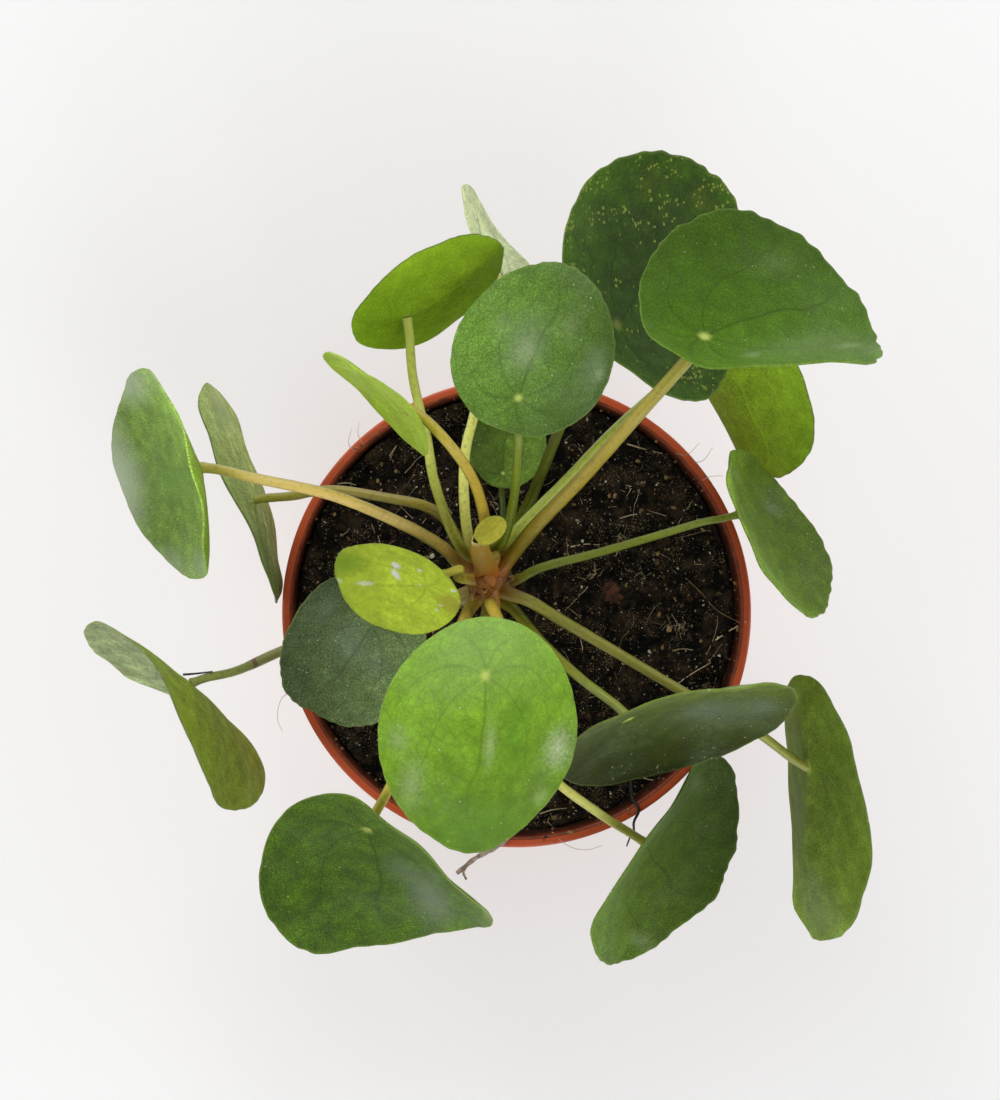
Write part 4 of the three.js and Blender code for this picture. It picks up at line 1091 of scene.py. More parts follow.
def thin_skin(name, corners, faces, flat, thickness):
    """A thin curved skin with its own map, from corners and a thickness in mm."""
    mesh = bpy.data.meshes.new(name)
    mesh.from_pydata([tuple(c * MM for c in corner) for corner in corners], [], faces)
    layer = mesh.uv_layers.new(name=SCALE_MAP)
    for loop in mesh.loops:
        layer.data[loop.index].uv = flat[loop.vertex_index]
    piece = bpy.data.objects.new(name, mesh)
    bpy.context.scene.collection.objects.link(piece)
    thicken = piece.modifiers.new("Thickness", "SOLIDIFY")
    thicken.thickness = thickness * MM
    thicken.offset = 0
    finish_mesh(piece)
    return piece


def crown_scale(height, turn, width, length, lean, curl, radius):
    """Corners, faces and map of one papery scale that wraps the stem and leans away from it."""
    across, steps = 7, 8
    centre = trunk_centre(height)
    corners, flat = [], []
    for row in range(steps + 1):
        v = row / steps
        half = 0.5 * width * (1 - v ** 2.2) ** 0.6 * (1 - 0.15 * (1 - v) ** 2)
        for column in range(across):
            u = 2 * column / (across - 1) - 1
            side = u * half
            out = radius + length * (lean * v + curl * v * v) - side * side / (2 * radius + 2 * v)
            up = length * v * math.sqrt(max(1 - lean * lean, 0.05)) + 0.12 * math.sin(5 * u + 9 * v)
            x = out * math.cos(turn) - side * math.sin(turn)
            y = out * math.sin(turn) + side * math.cos(turn)
            corners.append((centre.x + x, centre.y + y, height + up))
            flat.append((0.5 + 0.5 * u, v))
    return corners, skin_faces(steps, across), flat


def shaped_scales(settings):
    """The papery scales that once wrapped the young leaves, standing around the crown in one mesh."""
    rng = random.Random(5)
    corners, faces, flat = [], [], []
    for index in range(settings.scales):
        height = 126 + 17 * index / settings.scales + rng.uniform(-0.5, 0.5)
        turn = index * 2.4 + rng.uniform(-0.3, 0.3)
        size = rng.uniform(0.6, 1.2)
        leaning, curling = rng.uniform(0.1, 0.6), rng.uniform(-0.2, 0.6)
        more = crown_scale(
            height, turn, 1.7 * size, 2.1 * size, leaning, curling, visible_radius(height) - 0.3
        )
        faces += [tuple(i + len(corners) for i in face) for face in more[1]]
        corners += more[0]
        flat += more[2]
    return thin_skin("crown_scales", corners, faces, flat, 0.16)


def scale_material():
    """Dry stipules: thin brown paper, redder where they are still alive at the foot, pale at the edge."""
    material, tree = new_material("Dry papery scale")
    flat = add(tree, "ShaderNodeUVMap", uv_map=SCALE_MAP)
    axes = add(tree, "ShaderNodeSeparateXYZ", {0: flat})
    place = add(tree, "ShaderNodeTexCoord").outputs["Object"]
    fibre_noise = add(tree, "ShaderNodeTexNoise", {"Vector": place, "Scale": 600.0, "Detail": 4.0})
    shift = add(
        tree, "ShaderNodeMath", {0: fibre_noise, 1: 0.5, 2: axes.outputs["Y"]}, operation="MULTIPLY_ADD"
    )
    tip = add(tree, "ShaderNodeMapRange", {0: shift, 1: 0.35, 2: 1.15})
    colour = add(
        tree, "ShaderNodeMix", {0: tip, 6: linear("#8a4417"), 7: linear("#b78a55")}, data_type="RGBA",
    )
    side = add(tree, "ShaderNodeMath", {0: axes.outputs["X"], 1: 0.5}, operation="SUBTRACT")
    side = add(tree, "ShaderNodeMath", {0: side}, operation="ABSOLUTE")
    edge = add(tree, "ShaderNodeMapRange", {0: side, 1: 0.36, 2: 0.5, 3: 0.0, 4: 0.7})
    colour = add(tree, "ShaderNodeMix", {0: edge, 6: colour, 7: linear("#c4a67c")}, data_type="RGBA")
    bump = add(tree, "ShaderNodeBump", {"Height": fibre_noise, "Strength": 0.4, "Distance": 0.0002})
    surface(tree, {"Base Color": colour, "Roughness": 0.6, "Normal": bump})
    return material


def shaped_sheath():
    """The soft sheath that the newest leaf is coming out of: an open, pointed tube of two stipules."""
    route = smooth_route([(-7.6, 10.4, 140), (-8.0, 12.4, 147), (-8.7, 15.4, 154), (-9.2, 18.8, 161.4)], 8)
    around = 25
    corners, flat = [], []
    for step, centre in enumerate(route):
        share = step / (len(route) - 1)
        ahead = Vector(route[min(step + 1, len(route) - 1)] - route[max(step - 1, 0)]).normalized()
        across = ahead.cross(Vector((0, 0, 1))).normalized()
        up = across.cross(ahead)
        radius = 2.5 - 0.7 * share - 0.3 * share ** 4
        for index in range(around):
            turn = math.radians(-85 + 350 * index / (around - 1))
            flare = 1 + 0.12 * math.sin(3 * turn + 7 * share)
            out = 1.15 * across * math.cos(turn) + 0.85 * up * math.sin(turn)
            corners.append(tuple(Vector(centre) + radius * flare * out))
            flat.append((index / (around - 1), share))
    faces = skin_faces(len(route) - 1, around)
    return thin_skin("bud_sheath", corners, faces, flat, 0.3)


def sheath_material():
    """Living stipule: thin, moist and yellow-green, flushed with orange near the crown."""
    material, tree = new_material("Young stipule")
    flat = add(tree, "ShaderNodeUVMap", uv_map=SCALE_MAP)
    axes = add(tree, "ShaderNodeSeparateXYZ", {0: flat})
    place = add(tree, "ShaderNodeTexCoord").outputs["Object"]
    mottle = add(tree, "ShaderNodeTexNoise", {"Vector": place, "Scale": 420.0, "Detail": 4.0})
    shift = add(tree, "ShaderNodeMath", {0: mottle, 1: 0.6, 2: axes.outputs["Y"]}, operation="MULTIPLY_ADD")
    climb = add(tree, "ShaderNodeMapRange", {0: shift, 1: 0.3, 2: 0.85})
    colour = add(
        tree, "ShaderNodeMix", {0: climb, 6: linear("#b5591a"), 7: linear("#a8822c")}, data_type="RGBA",
    )
    rim = add(tree, "ShaderNodeMapRange", {0: axes.outputs["Y"], 1: 0.93, 2: 1.0, 3: 0.0, 4: 0.7})
    colour = add(tree, "ShaderNodeMix", {0: rim, 6: colour, 7: linear("#c9c27c")}, data_type="RGBA")
    bump = add(tree, "ShaderNodeBump", {"Height": mottle, "Strength": 0.3, "Distance": 0.0003})
    surface(tree, {"Base Color": colour, "Roughness": 0.4, "Normal": bump})
    return material


# Soil

SOIL_BEND = 15
SOIL_FOOT = 3.6


def soil_height(x, y):
    """Height of the soil's top: the solid's slow rise and fall, then clods, crumbs, pits and grit."""
    slope = 0.02 * (y - x)
    swells = math.sin(0.21 * x + 1.3) * math.cos(0.17 * y - 0.6) + 0.6 * math.sin(0.11 * x - 0.31 * y)
    low = POT_HEIGHT - SOIL_BELOW_RIM + slope + 0.8 * swells
    bank = min(max((math.hypot(x, y) - 47) / 8, 0), 1)
    low += 3 * bank * bank * (0.6 + 0.8 * noise.noise(Vector((x / 14, y / 14, 40))))
    clods = 1.2 * noise.noise(Vector((x / 6, y / 6, 3))) + 0.9 * noise.noise(Vector((x / 2.6, y / 2.6, 9)))
    pit = -2.5 * max(0, noise.noise(Vector((x / 4.5, y / 4.5, 20))) - 0.2)
    near = noise.voronoi(Vector((x / 1.9, y / 1.9, 1)))[0][0]
    crumbs = 1.3 * (0.45 - near)
    grit = 0.4 * noise.noise(Vector((x / 0.8, y / 0.8, 5)))
    return low + clods + pit + crumbs + grit


def shaped_soil(settings):
    """The soil as a heap that fills the pot, its top broken into clods and crumbs."""
    wall_radius = pot_outer(POT_HEIGHT - SOIL_BELOW_RIM) - WALL - 0.2
    bend = POT_HEIGHT - SOIL_BEND
    low_radius = pot_outer(bend) - WALL - 0.3
    foot_radius = pot_outer(SOIL_FOOT - 0.2) - WALL - 0.5
    piece = leaf_disc(settings.sectors, settings.rings)
    piece.name = "potting_soil"
    for vertex in piece.data.vertices:
        x, y = vertex.co.x * wall_radius, vertex.co.y * wall_radius
        vertex.co = Vector((x, y, soil_height(x, y))) * MM
    select_only(piece)
    bpy.ops.object.mode_set(mode="EDIT")
    bpy.ops.mesh.select_all(action="DESELECT")
    bpy.ops.mesh.select_non_manifold()
    bpy.ops.mesh.extrude_region_move()
    narrow = low_radius / wall_radius
    bpy.ops.transform.resize(value=(narrow, narrow, 0), center_override=(0, 0, bend * MM))
    bpy.ops.mesh.extrude_region_move()
    narrow = foot_radius / low_radius
    bpy.ops.transform.resize(value=(narrow, narrow, 0), center_override=(0, 0, SOIL_FOOT * MM))
    bpy.ops.mesh.edge_face_add()
    bpy.ops.mesh.select_all(action="SELECT")
    bpy.ops.mesh.normals_make_consistent(inside=False)
    bpy.ops.object.mode_set(mode="OBJECT")
    bpy.ops.object.shade_smooth()
    return piece


def soil_material():
    """Peat-based potting soil: moist, dark and crumbly, with fibres and dust that catch no shine."""
    material, tree = new_material("Peat potting soil")
    place = add(tree, "ShaderNodeTexCoord").outputs["Object"]
    lumps = add(
        tree, "ShaderNodeTexNoise",
        {"Vector": place, "Scale": 180.0, "Detail": 9.0, "Roughness": 0.75},
    )
    lumps = add(tree, "ShaderNodeMapRange", {0: lumps, 1: 0.48, 2: 0.66})
    colour = add(
        tree, "ShaderNodeMix", {0: lumps, 6: linear("#020201"), 7: linear("#4c3c2b")}, data_type="RGBA",
    )
    torn = add(tree, "ShaderNodeTexNoise", {"Vector": place, "Scale": 1400.0, "Detail": 2.0})
    torn = add(
        tree, "ShaderNodeVectorMath", {0: torn.outputs["Color"], 1: (0.001, 0.001, 0.001), 2: place},
        operation="MULTIPLY_ADD",
    )
    for per_metre, share, reach, tone in (
        (420.0, 0.94, 0.4, "#4d3626"), (1000.0, 0.95, 0.34, "#b0946e"), (1700.0, 0.95, 0.36, "#f0e6d4"),
    ):
        crumbs = add(tree, "ShaderNodeTexVoronoi", {"Vector": torn, "Scale": per_metre})
        pick = add(tree, "ShaderNodeSeparateXYZ", {0: crumbs.outputs["Color"]})
        picked = add(tree, "ShaderNodeMath", {0: pick.outputs["X"], 1: share}, operation="GREATER_THAN")
        near = add(tree, "ShaderNodeMath", {0: crumbs.outputs["Distance"], 1: reach}, operation="LESS_THAN")
        picked = add(tree, "ShaderNodeMath", {0: picked, 1: near}, operation="MULTIPLY")
        strength = add(tree, "ShaderNodeMath", {0: pick.outputs["Y"], 1: picked}, operation="MULTIPLY")
        colour = add(tree, "ShaderNodeMix", {0: strength, 6: colour, 7: linear(tone)}, data_type="RGBA")
    dust = add(tree, "ShaderNodeTexNoise", {"Vector": place, "Scale": 2600.0, "Detail": 3.0})
    dust = add(tree, "ShaderNodeMapRange", {0: dust, 1: 0.58, 2: 0.68, 3: 0.0, 4: 1.0})
    drift = add(tree, "ShaderNodeTexNoise", {"Vector": place, "Scale": 190.0, "Detail": 4.0})
    drift = add(tree, "ShaderNodeMapRange", {0: drift, 1: 0.48, 2: 0.62, 3: 0.08, 4: 1.0})
    dust = add(tree, "ShaderNodeMath", {0: dust, 1: drift}, operation="MULTIPLY")
    colour = add(tree, "ShaderNodeMix", {0: dust, 6: colour, 7: linear("#b89c74")}, data_type="RGBA")
    grit = add(
        tree, "ShaderNodeTexNoise",
        {"Vector": place, "Scale": 1500.0, "Detail": 6.0, "Roughness": 0.75},
    )
    bump = add(tree, "ShaderNodeBump", {"Height": grit, "Strength": 1.0, "Distance": 0.0008})
    surface(tree, {"Base Color": colour, "Roughness": 0.85, "Specular IOR Level": 0.2, "Normal": bump})
    return material


# Pot

DRAIN_HOLES = 8
DRAIN_RADIUS = 3
DRAIN_CIRCLE = 30.25
RAISED_RING = 2
# Painted shade on the pot below its lip: how dark it makes the pot, and the heights in mm where it is full
# and where it is gone.
WALL_SHADE_FACTOR = 0.5
WALL_SHADE_FULL_BELOW, WALL_SHADE_GONE_ABOVE = 94, 104
# Height in mm above which the pot's inside wall is darkened with dirt and painted shade.
DIRT_AND_SHADE_FROM = 90


def pot_outer(height):
    """The outer radius of the pot's tapered wall at a height."""
    top = RIM_RADIUS - LIP_WIDTH + WALL
    return BASE_RADIUS + (top - BASE_RADIUS) * height / POT_HEIGHT


def arc(x, z, radius, start, end, steps=5):
    """Points of a round stretch of a profile, by its centre, radius and two turns in degrees."""
    turns = [math.radians(start + (end - start) * i / steps) for i in range(steps + 1)]
    return [(x + radius * math.cos(t), z + radius * math.sin(t)) for t in turns]


def pot_profile(settings):
    """The pot's section as radius and height, from the middle of its underside round to its inside."""
    under = POT_HEIGHT - LIP_WALL
    skirt = RIM_RADIUS - LIP_WALL
    hem = POT_HEIGHT - LIP_DEPTH
    mouth = RIM_RADIUS - LIP_WIDTH
    corner = settings.lip_round / MM
    floor = RAISED_RING + WALL
    notch = (skirt - pot_outer(under)) / 2
    # Underside: a flat middle, a raised ring for the drain holes, and the foot
    profile = [(0, 0), (22, 0)] + arc(22.4, 0.6, 0.6, -90, -45) + arc(25, 1.4, 0.6, 135, 90)
    profile += arc(35, 1.4, 0.6, 90, 45) + arc(38, 0.6, 0.6, 225, 270)
    profile += arc(BASE_RADIUS - 0.8, 0.8, 0.8, -90, -10)
    profile += [(pot_outer(h), h) for h in (2, 10, 25, 45, 65, 85, 96, under - notch - 0.5)]
    profile += arc(skirt - notch, under - notch, notch, 180, 0)
    profile += [(skirt, POT_HEIGHT - 4), (skirt, hem + 0.6)]
    profile += arc(RIM_RADIUS - LIP_WALL / 2, hem + LIP_WALL / 2, LIP_WALL / 2, 180, 360, 6)
    profile += [(RIM_RADIUS, POT_HEIGHT - 5), (RIM_RADIUS, POT_HEIGHT - 2.5)]
    profile += arc(RIM_RADIUS - corner, POT_HEIGHT - corner, corner, 0, 90)
    profile += arc(mouth + corner, POT_HEIGHT - corner, corner, 90, 180)
    profile += [(pot_outer(h) - WALL, h) for h in (100, 92, 80, 60, 40, 20, floor + 2)]
    profile += [(pot_outer(floor) - WALL - 1, floor), (24, floor), (21.6, WALL), (0, WALL)]
    return profile


def shaped_pot(settings):
    """The pot: its section turned about the middle, then the drain holes cut through its raised ring."""
    profile = pot_profile(settings)
    mesh = bpy.data.meshes.new("nursery_pot")
    corners = [(radius * MM, 0, height * MM) for radius, height in profile]
    mesh.from_pydata(corners, [(i, i + 1) for i in range(len(corners) - 1)], [])
    piece = bpy.data.objects.new("nursery_pot", mesh)
    bpy.context.scene.collection.objects.link(piece)
    select_only(piece)
    bpy.ops.object.mode_set(mode="EDIT")
    bpy.ops.mesh.select_all(action="SELECT")
    bpy.ops.mesh.spin(steps=settings.sides, angle=2 * math.pi, center=(0, 0, 0), axis=(0, 0, 1))
    bpy.ops.mesh.select_all(action="SELECT")
    bpy.ops.mesh.remove_doubles(threshold=0.00001)
    bpy.ops.mesh.normals_make_consistent(inside=False)
    bpy.ops.object.mode_set(mode="OBJECT")
    cutters = []
    for hole in range(DRAIN_HOLES):
        turn = 2 * math.pi * (hole + 0.5) / DRAIN_HOLES
        spot = (DRAIN_CIRCLE * MM * math.cos(turn), DRAIN_CIRCLE * MM * math.sin(turn), RAISED_RING * MM)
        bpy.ops.object.select_all(action="DESELECT")
        bpy.ops.mesh.primitive_cylinder_add(
            vertices=32, radius=DRAIN_RADIUS * MM, depth=12 * MM, location=spot,
        )
        cutters.append(bpy.context.object)
        cut = piece.modifiers.new(f"Hole {hole}", "BOOLEAN")
        cut.object = cutters[-1]
        cut.solver = "EXACT"
    finish_mesh(piece)
    bpy.ops.object.shade_smooth_by_angle(angle=math.radians(40))
    for cutter in cutters:
        bpy.data.objects.remove(cutter, do_unlink=True)
    return piece


def pot_material():
    """Injection-moulded polypropylene in terracotta: satin and scuffed on its lip, darkened below its lip by
    painted shade, and darker still inside over the soil with dirt and painted shade."""
    material, tree = new_material("Terracotta polypropylene")
    place = add(tree, "ShaderNodeTexCoord").outputs["Object"]
    flow = add(tree, "ShaderNodeMapping", {"Vector": place, "Scale": (1.0, 1.0, 0.3)})
    flow = add(tree, "ShaderNodeTexNoise", {"Vector": flow, "Scale": 45.0, "Detail": 3.0})
    flow = add(tree, "ShaderNodeMapRange", {0: flow, 1: 0.3, 2: 0.7})
    colour = add(
        tree, "ShaderNodeMix", {0: flow, 6: linear("#b44a23"), 7: linear("#d2592f")}, data_type="RGBA",
    )
    scuff = add(
        tree, "ShaderNodeTexNoise",
        {"Vector": place, "Scale": 900.0, "Detail": 4.0, "Roughness": 0.7},
    )
    scuff = add(tree, "ShaderNodeMapRange", {0: scuff, 1: 0.6, 2: 0.75, 3: 0.0, 4: 0.3})
    colour = add(tree, "ShaderNodeMix", {0: scuff, 6: colour, 7: linear("#c98a6d")}, data_type="RGBA")
    axes = add(tree, "ShaderNodeSeparateXYZ", {0: place})
    # Painted shade: everything under the lip is darkened, fading out towards the lip's top.
    painted_wall_shade = add(
        tree, "ShaderNodeMapRange",
        {0: axes.outputs["Z"], 1: WALL_SHADE_FULL_BELOW * MM, 2: WALL_SHADE_GONE_ABOVE * MM, 3: WALL_SHADE_FACTOR, 4: 1.0},
    )
    colour = add(tree, "ShaderNodeVectorMath", {0: colour, "Scale": painted_wall_shade}, operation="SCALE")
    level = add(tree, "ShaderNodeVectorMath", {0: place, 1: (1, 1, 0)}, operation="MULTIPLY")
    radius = add(tree, "ShaderNodeVectorMath", {0: level}, operation="LENGTH").outputs["Value"]
    taper = (pot_outer(POT_HEIGHT) - BASE_RADIUS) / POT_HEIGHT
    wall = add(
        tree, "ShaderNodeMath", {0: axes.outputs["Z"], 1: taper, 2: (BASE_RADIUS - 0.2) * MM},
        operation="MULTIPLY_ADD",
    )
    inside = add(tree, "ShaderNodeMath", {0: radius, 1: wall}, operation="LESS_THAN")
    over_soil = add(
        tree, "ShaderNodeMath", {0: axes.outputs["Z"], 1: DIRT_AND_SHADE_FROM * MM}, operation="GREATER_THAN"
    )
    inside = add(tree, "ShaderNodeMath", {0: inside, 1: over_soil}, operation="MULTIPLY")
    # Dirt and painted shade: the inside wall over the soil is darkened almost to black, less near the lip.
    dark_band_noise = add(
        tree, "ShaderNodeTexNoise",
        {"Vector": place, "Scale": 350.0, "Detail": 5.0, "Roughness": 0.7},
    )
    line = add(tree, "ShaderNodeMath", {0: dark_band_noise, 1: 0.011, 2: axes.outputs["Z"]}, operation="MULTIPLY_ADD")
    low = add(tree, "ShaderNodeMapRange", {0: line, 1: 0.107, 2: 0.1125, 3: 0.95, 4: 0.4})
    dirt_and_shade = add(tree, "ShaderNodeMath", {0: low, 1: inside}, operation="MULTIPLY")
    colour = add(tree, "ShaderNodeMix", {0: dirt_and_shade, 6: colour, 7: linear("#1d130d")}, data_type="RGBA")
    bump = add(tree, "ShaderNodeBump", {"Height": scuff, "Strength": 0.15, "Distance": 0.0001})
    rough = add(tree, "ShaderNodeMapRange", {0: flow, 1: 0.0, 2: 1.0, 3: 0.38, 4: 0.48})
    surface(tree, {"Base Color": colour, "Roughness": rough, "IOR": 1.49, "Normal": bump})
    return material


# Loose bits

PICK = "pick"
TRUNK_SPOT = (-5.5, 6.5)
TRUNK_ROOM = 6.5


def lumps(name, places, detail, seed):
    """Many small rough lumps in one mesh. Each place is a centre, three radii in mm and three turns.
    A number drawn for each lump is kept as an attribute, so that its tone can differ."""
    bpy.ops.object.select_all(action="DESELECT")
    bpy.ops.mesh.primitive_ico_sphere_add(subdivisions=detail, radius=1)
    template = bpy.context.object
    ball = np.array([v.co for v in template.data.vertices])
    faces = np.array([p.vertices for p in template.data.polygons])
    bpy.data.objects.remove(template, do_unlink=True)
    rng = np.random.default_rng(seed)
    corners, triangles = [], []
    for centre, radii, turns in places:
        rough = ball * rng.uniform(0.6, 1.2, (len(ball), 1)) * np.array(radii)
        turned = rough @ np.array(Euler(turns).to_matrix()).T
        triangles.append(faces + len(corners) * len(ball))
        corners.append((turned + np.array(centre)) * MM)
    mesh = bpy.data.meshes.new(name)
    mesh.from_pydata(np.concatenate(corners).tolist(), [], np.concatenate(triangles).tolist())
    mesh.update()
    picks = np.repeat(rng.random(len(places)), len(ball))
    mesh.attributes.new(PICK, "FLOAT", "POINT").data.foreach_set("value", picks)
    piece = bpy.data.objects.new(name, mesh)
    bpy.context.scene.collection.objects.link(piece)
    return piece


def on_soil(rng, reach=54.5, lift=0.0):
    """A random place on the soil, in mm, that isn't inside the trunk."""
    while True:
        x, y = rng.uniform(-reach, reach), rng.uniform(-reach, reach)
        from_trunk = math.hypot(x - TRUNK_SPOT[0], y - TRUNK_SPOT[1])
        if math.hypot(x, y) < reach and from_trunk > TRUNK_ROOM:
            return x, y, soil_height(x, y) + lift


def scattered(rng, count, sizes, flat, lift=0.0):
    """Places, radii and turns for lumps strewn on the soil, a few large and most of them small."""
    places = []
    for _ in range(count):
        size = sizes[0] + (sizes[1] - sizes[0]) * rng.random() ** 3
        radii = (size, size * rng.uniform(0.5, 0.9), size * flat * rng.uniform(0.7, 1.2))
        turns = (rng.uniform(-0.6, 0.6), rng.uniform(-0.6, 0.6), rng.uniform(0, 6.28))
        places.append((on_soil(rng, lift=lift), radii, turns))
    return places


def on_wall(rng, count):
    """Places, radii and turns for crumbs that cling to the pot's inside wall, and for some on its lip."""
    places = []
    for index in range(count):
        turn = rng.uniform(0, 2 * math.pi)
        size = 0.12 + 0.5 * rng.random() ** 3
        height = POT_HEIGHT - 7.5 + 7 * rng.random() ** 1.6
        radius = pot_outer(height) - WALL - 0.4 * size
        if index % 8 == 0:
            turn = rng.choice((2.35, -1.25)) + rng.gauss(0, 0.22)
            radius, height = rng.uniform(RIM_RADIUS - LIP_WIDTH, RIM_RADIUS - 0.6), POT_HEIGHT + 0.3 * size
        place = (radius * math.cos(turn), radius * math.sin(turn), height)
        places.append((place, (size, 0.8 * size, 0.6 * size), (0, 0, rng.uniform(0, 6.28))))
    return places


def fibre(rng, start, length, heading, radius, wander=0.1, lie=0.25):
    """A thin, slightly bent strand that lies on the soil from its start."""
    points, place, turn = [], Vector(start), heading
    steps = max(4, int(length / 0.8))
    for _ in range(steps):
        points.append(tuple(place))
        turn += rng.gauss(0, wander)
        stride = length / steps
        x, y = place.x + stride * math.cos(turn), place.y + stride * math.sin(turn)
        z = place.z + rng.gauss(0, 0.15)
        if math.hypot(x, y) < 55:
            z = 0.5 * z + 0.5 * (soil_height(x, y) + lie)
        place = Vector((x, y, z))
    radii = [radius * (1 - 0.5 * i / steps) for i in range(steps)]
    return points, radii


def tufts(rng, count):
    """Little tangles of husk: short stiff strands that cross at a spot, at all angles."""
    strands = []
    for _ in range(count):
        middle = Vector(on_soil(rng, reach=52, lift=0.2))
        for _ in range(rng.randint(6, 13)):
            start = middle + Vector((rng.gauss(0, 0.9), rng.gauss(0, 0.9), rng.uniform(0, 0.6)))
            strands.append(
                fibre(rng, start, rng.uniform(1, 4), rng.uniform(0, 6.28), rng.uniform(0.04, 0.09))
            )
    return strands


def laid(points, lie=0.3):
    """A strand through given points. Those given without a height lie on the soil."""
    return [p if len(p) == 3 else (*p, soil_height(*p) + lie) for p in points]


# The strands that stand out, in mm: straws, the twig, roots and a thin black strand by a stalk's end.
# Points without a height lie on the soil.
LONG_STRAWS = (
    ((28.4, 43.3), (35.8, 41.3), (42.1, 40.1)),
    ((43.6, 8.9), (47.8, 5), (51.3, 0.9), (57.2, -2.6, 105.6)),
    ((51.3, -7.1), (55, -4.6), (58.6, -2.2, 105.4)),
    ((40.3, -9.9), (43, -9.4), (45.5, -9.7)),
    ((41.6, -18.4), (46, -15.4), (50.1, -13)),
    ((26.7, 24.3), (30.2, 25.2), (34.1, 25.4)),
    ((14, 16.9), (17.8, 17.6), (21.5, 17.4)),
    ((-32.6, 40.3), (-31.6, 41.7), (-30.8, 42.9)),
    ((-46, 33.1), (-43.4, 33.3), (-41.3, 32.8)),
    ((-45.2, 19.7), (-44, 20.4), (-42.9, 21.7)),
    ((30, -41), (34, -43.2), (39, -43), (43, -41)),
    ((33, -47), (36, -44), (38, -40)),
    ((6, -52), (9, -51), (13, -50.6)),
)
TWIG = (
    (-1, -54.5, 103.6), (-2.6, -57.6, 105.6), (-6, -60.2, 106), (-10.4, -62.6, 105.3), (-15.2, -66.6, 103.6),
)
TWIG_SPUR = ((-11.6, -63.4, 105), (-13.6, -66.2, 104.4), (-12.9, -68.2, 104))
DARK_ROOT = (
    (29.4, -43, 100), (29.6, -47.4, 104), (31.2, -50.3, 105.6), (30, -53.4, 104.9), (30, -56.2, 102.5),
    (29.2, -57.6, 101.5), (28.4, -60.2, 98.6),
)
ROOT_HAIRS = (
    ((-56.6, -20, 104.6), (-59.4, -21.2, 105.4), (-61, -24, 102), (-61.6, -28, 97), (-60.6, -31, 93)),
    ((-38.6, 42.2, 104), (-40.4, 45.4, 107), (-40, 48.6, 109.6)),
    ((-40.6, 40.6, 104.4), (-42.8, 43, 106.4), (-42, 47, 108.6)),
    ((44, 38.6, 104), (47.4, 38.8, 106.2), (50, 42.2, 107.4)),
    ((40, 41, 104.4), (43.4, 40.4, 106.6), (46.6, 43.4, 108)),
    ((46.4, 33.2, 104), (49.4, 34.8, 106.2), (52.6, 35, 107)),
    ((9, -56, 104), (13, -59.4, 105.6), (17.6, -60.6, 104.6), (22, -59.6, 103.4)),
)
BLACK_STRAND = ((-76.5, -14.5, 118), (-80.5, -14.95, 119), (-83.8, -15.2, 119.5))

# Bits that stand out, in mm: a large grain, large crumbs with their sizes, and a round husk with
# the radius, count and size of the scales in each of its rings
LARGE_GRAIN = (-21.7, 14.5)
LARGE_CRUMBS = ((36.2, 13, 1.1), (36.4, 24.4, 1), (21.8, 23.8, 0.9), (10, -53, 1), (14, -49, 0.8))
ROUND_HUSK = (24.9, 5.3)
HUSK_RINGS = ((0, 1, 1.3), (1.3, 6, 1.0), (2.3, 11, 0.85))


def round_husk():
    """Places, radii and turns for the scales of the round husk, ring by ring."""
    scales = []
    middle_x, middle_y = ROUND_HUSK
    for ring, count, size in HUSK_RINGS:
        height = soil_height(middle_x, middle_y) + 0.9 - 0.25 * ring
        for step in range(count):
            turn = 2 * math.pi * step / count + ring
            place = (middle_x + ring * math.cos(turn), middle_y + ring * math.sin(turn), height)
            scales.append((place, (size, 0.75 * size, 0.35 * size), (0, 0.35, turn)))
    return scales


def tapered(points, thick, thin, steps=6):
    """A smooth strand through the points, with its radii in mm at its start and its end."""
    route = smooth_route(points, steps)
    return route, np.linspace(thick, thin, len(route))


def straws(rng, count):
    """Thin strands strewn on the soil, then the long ones that stand out."""
    strands = []
    for _ in range(count):
        start = on_soil(rng, lift=0.2)
        length = 2 + 9 * rng.random() ** 2
        strands.append(fibre(rng, start, length, rng.uniform(0, 6.28), rng.uniform(0.04, 0.11)))
    return strands + [tapered(laid(points), 0.2, 0.1, 5) for points in LONG_STRAWS]


def knotted_twig():
    """The dead twig over the lip and its spur, thicker at each knot."""
    bars = []
    for points, radius in ((TWIG, 0.75), (TWIG_SPUR, 0.4)):
        route, taper = tapered(points, 1, 0.75)
        knots = 1 + 0.15 * np.sin(np.arange(len(route)) * 1.7)
        bars.append((route, radius * knots * taper))
    return bars


def grain_material(name, dark, light, rough, scale):
    """A loose bit's own stuff: its tone differs from bit to bit and across each, dull and grainy."""
    material, tree = new_material(name)
    place = add(tree, "ShaderNodeTexCoord").outputs["Object"]
    pick = add(tree, "ShaderNodeAttribute", attribute_name=PICK).outputs["Fac"]
    tone = add(tree, "ShaderNodeTexNoise", {"Vector": place, "Scale": scale, "Detail": 3.0})
    tone = add(tree, "ShaderNodeMath", {0: tone, 1: 0.5}, operation="SUBTRACT")
    tone = add(tree, "ShaderNodeMath", {0: tone, 1: 1.6, 2: pick}, operation="MULTIPLY_ADD")
    tone = add(tree, "ShaderNodeMapRange", {0: tone, 1: 0.0, 2: 1.0})
    colour = add(tree, "ShaderNodeMix", {0: tone, 6: linear(dark), 7: linear(light)}, data_type="RGBA")
    fine = add(tree, "ShaderNodeTexNoise", {"Vector": place, "Scale": 3000.0, "Detail": 2.0})
    bump = add(tree, "ShaderNodeBump", {"Height": fine, "Strength": 0.4, "Distance": 0.0002})
    surface(tree, {"Base Color": colour, "Roughness": rough, "Normal": bump})
    return material


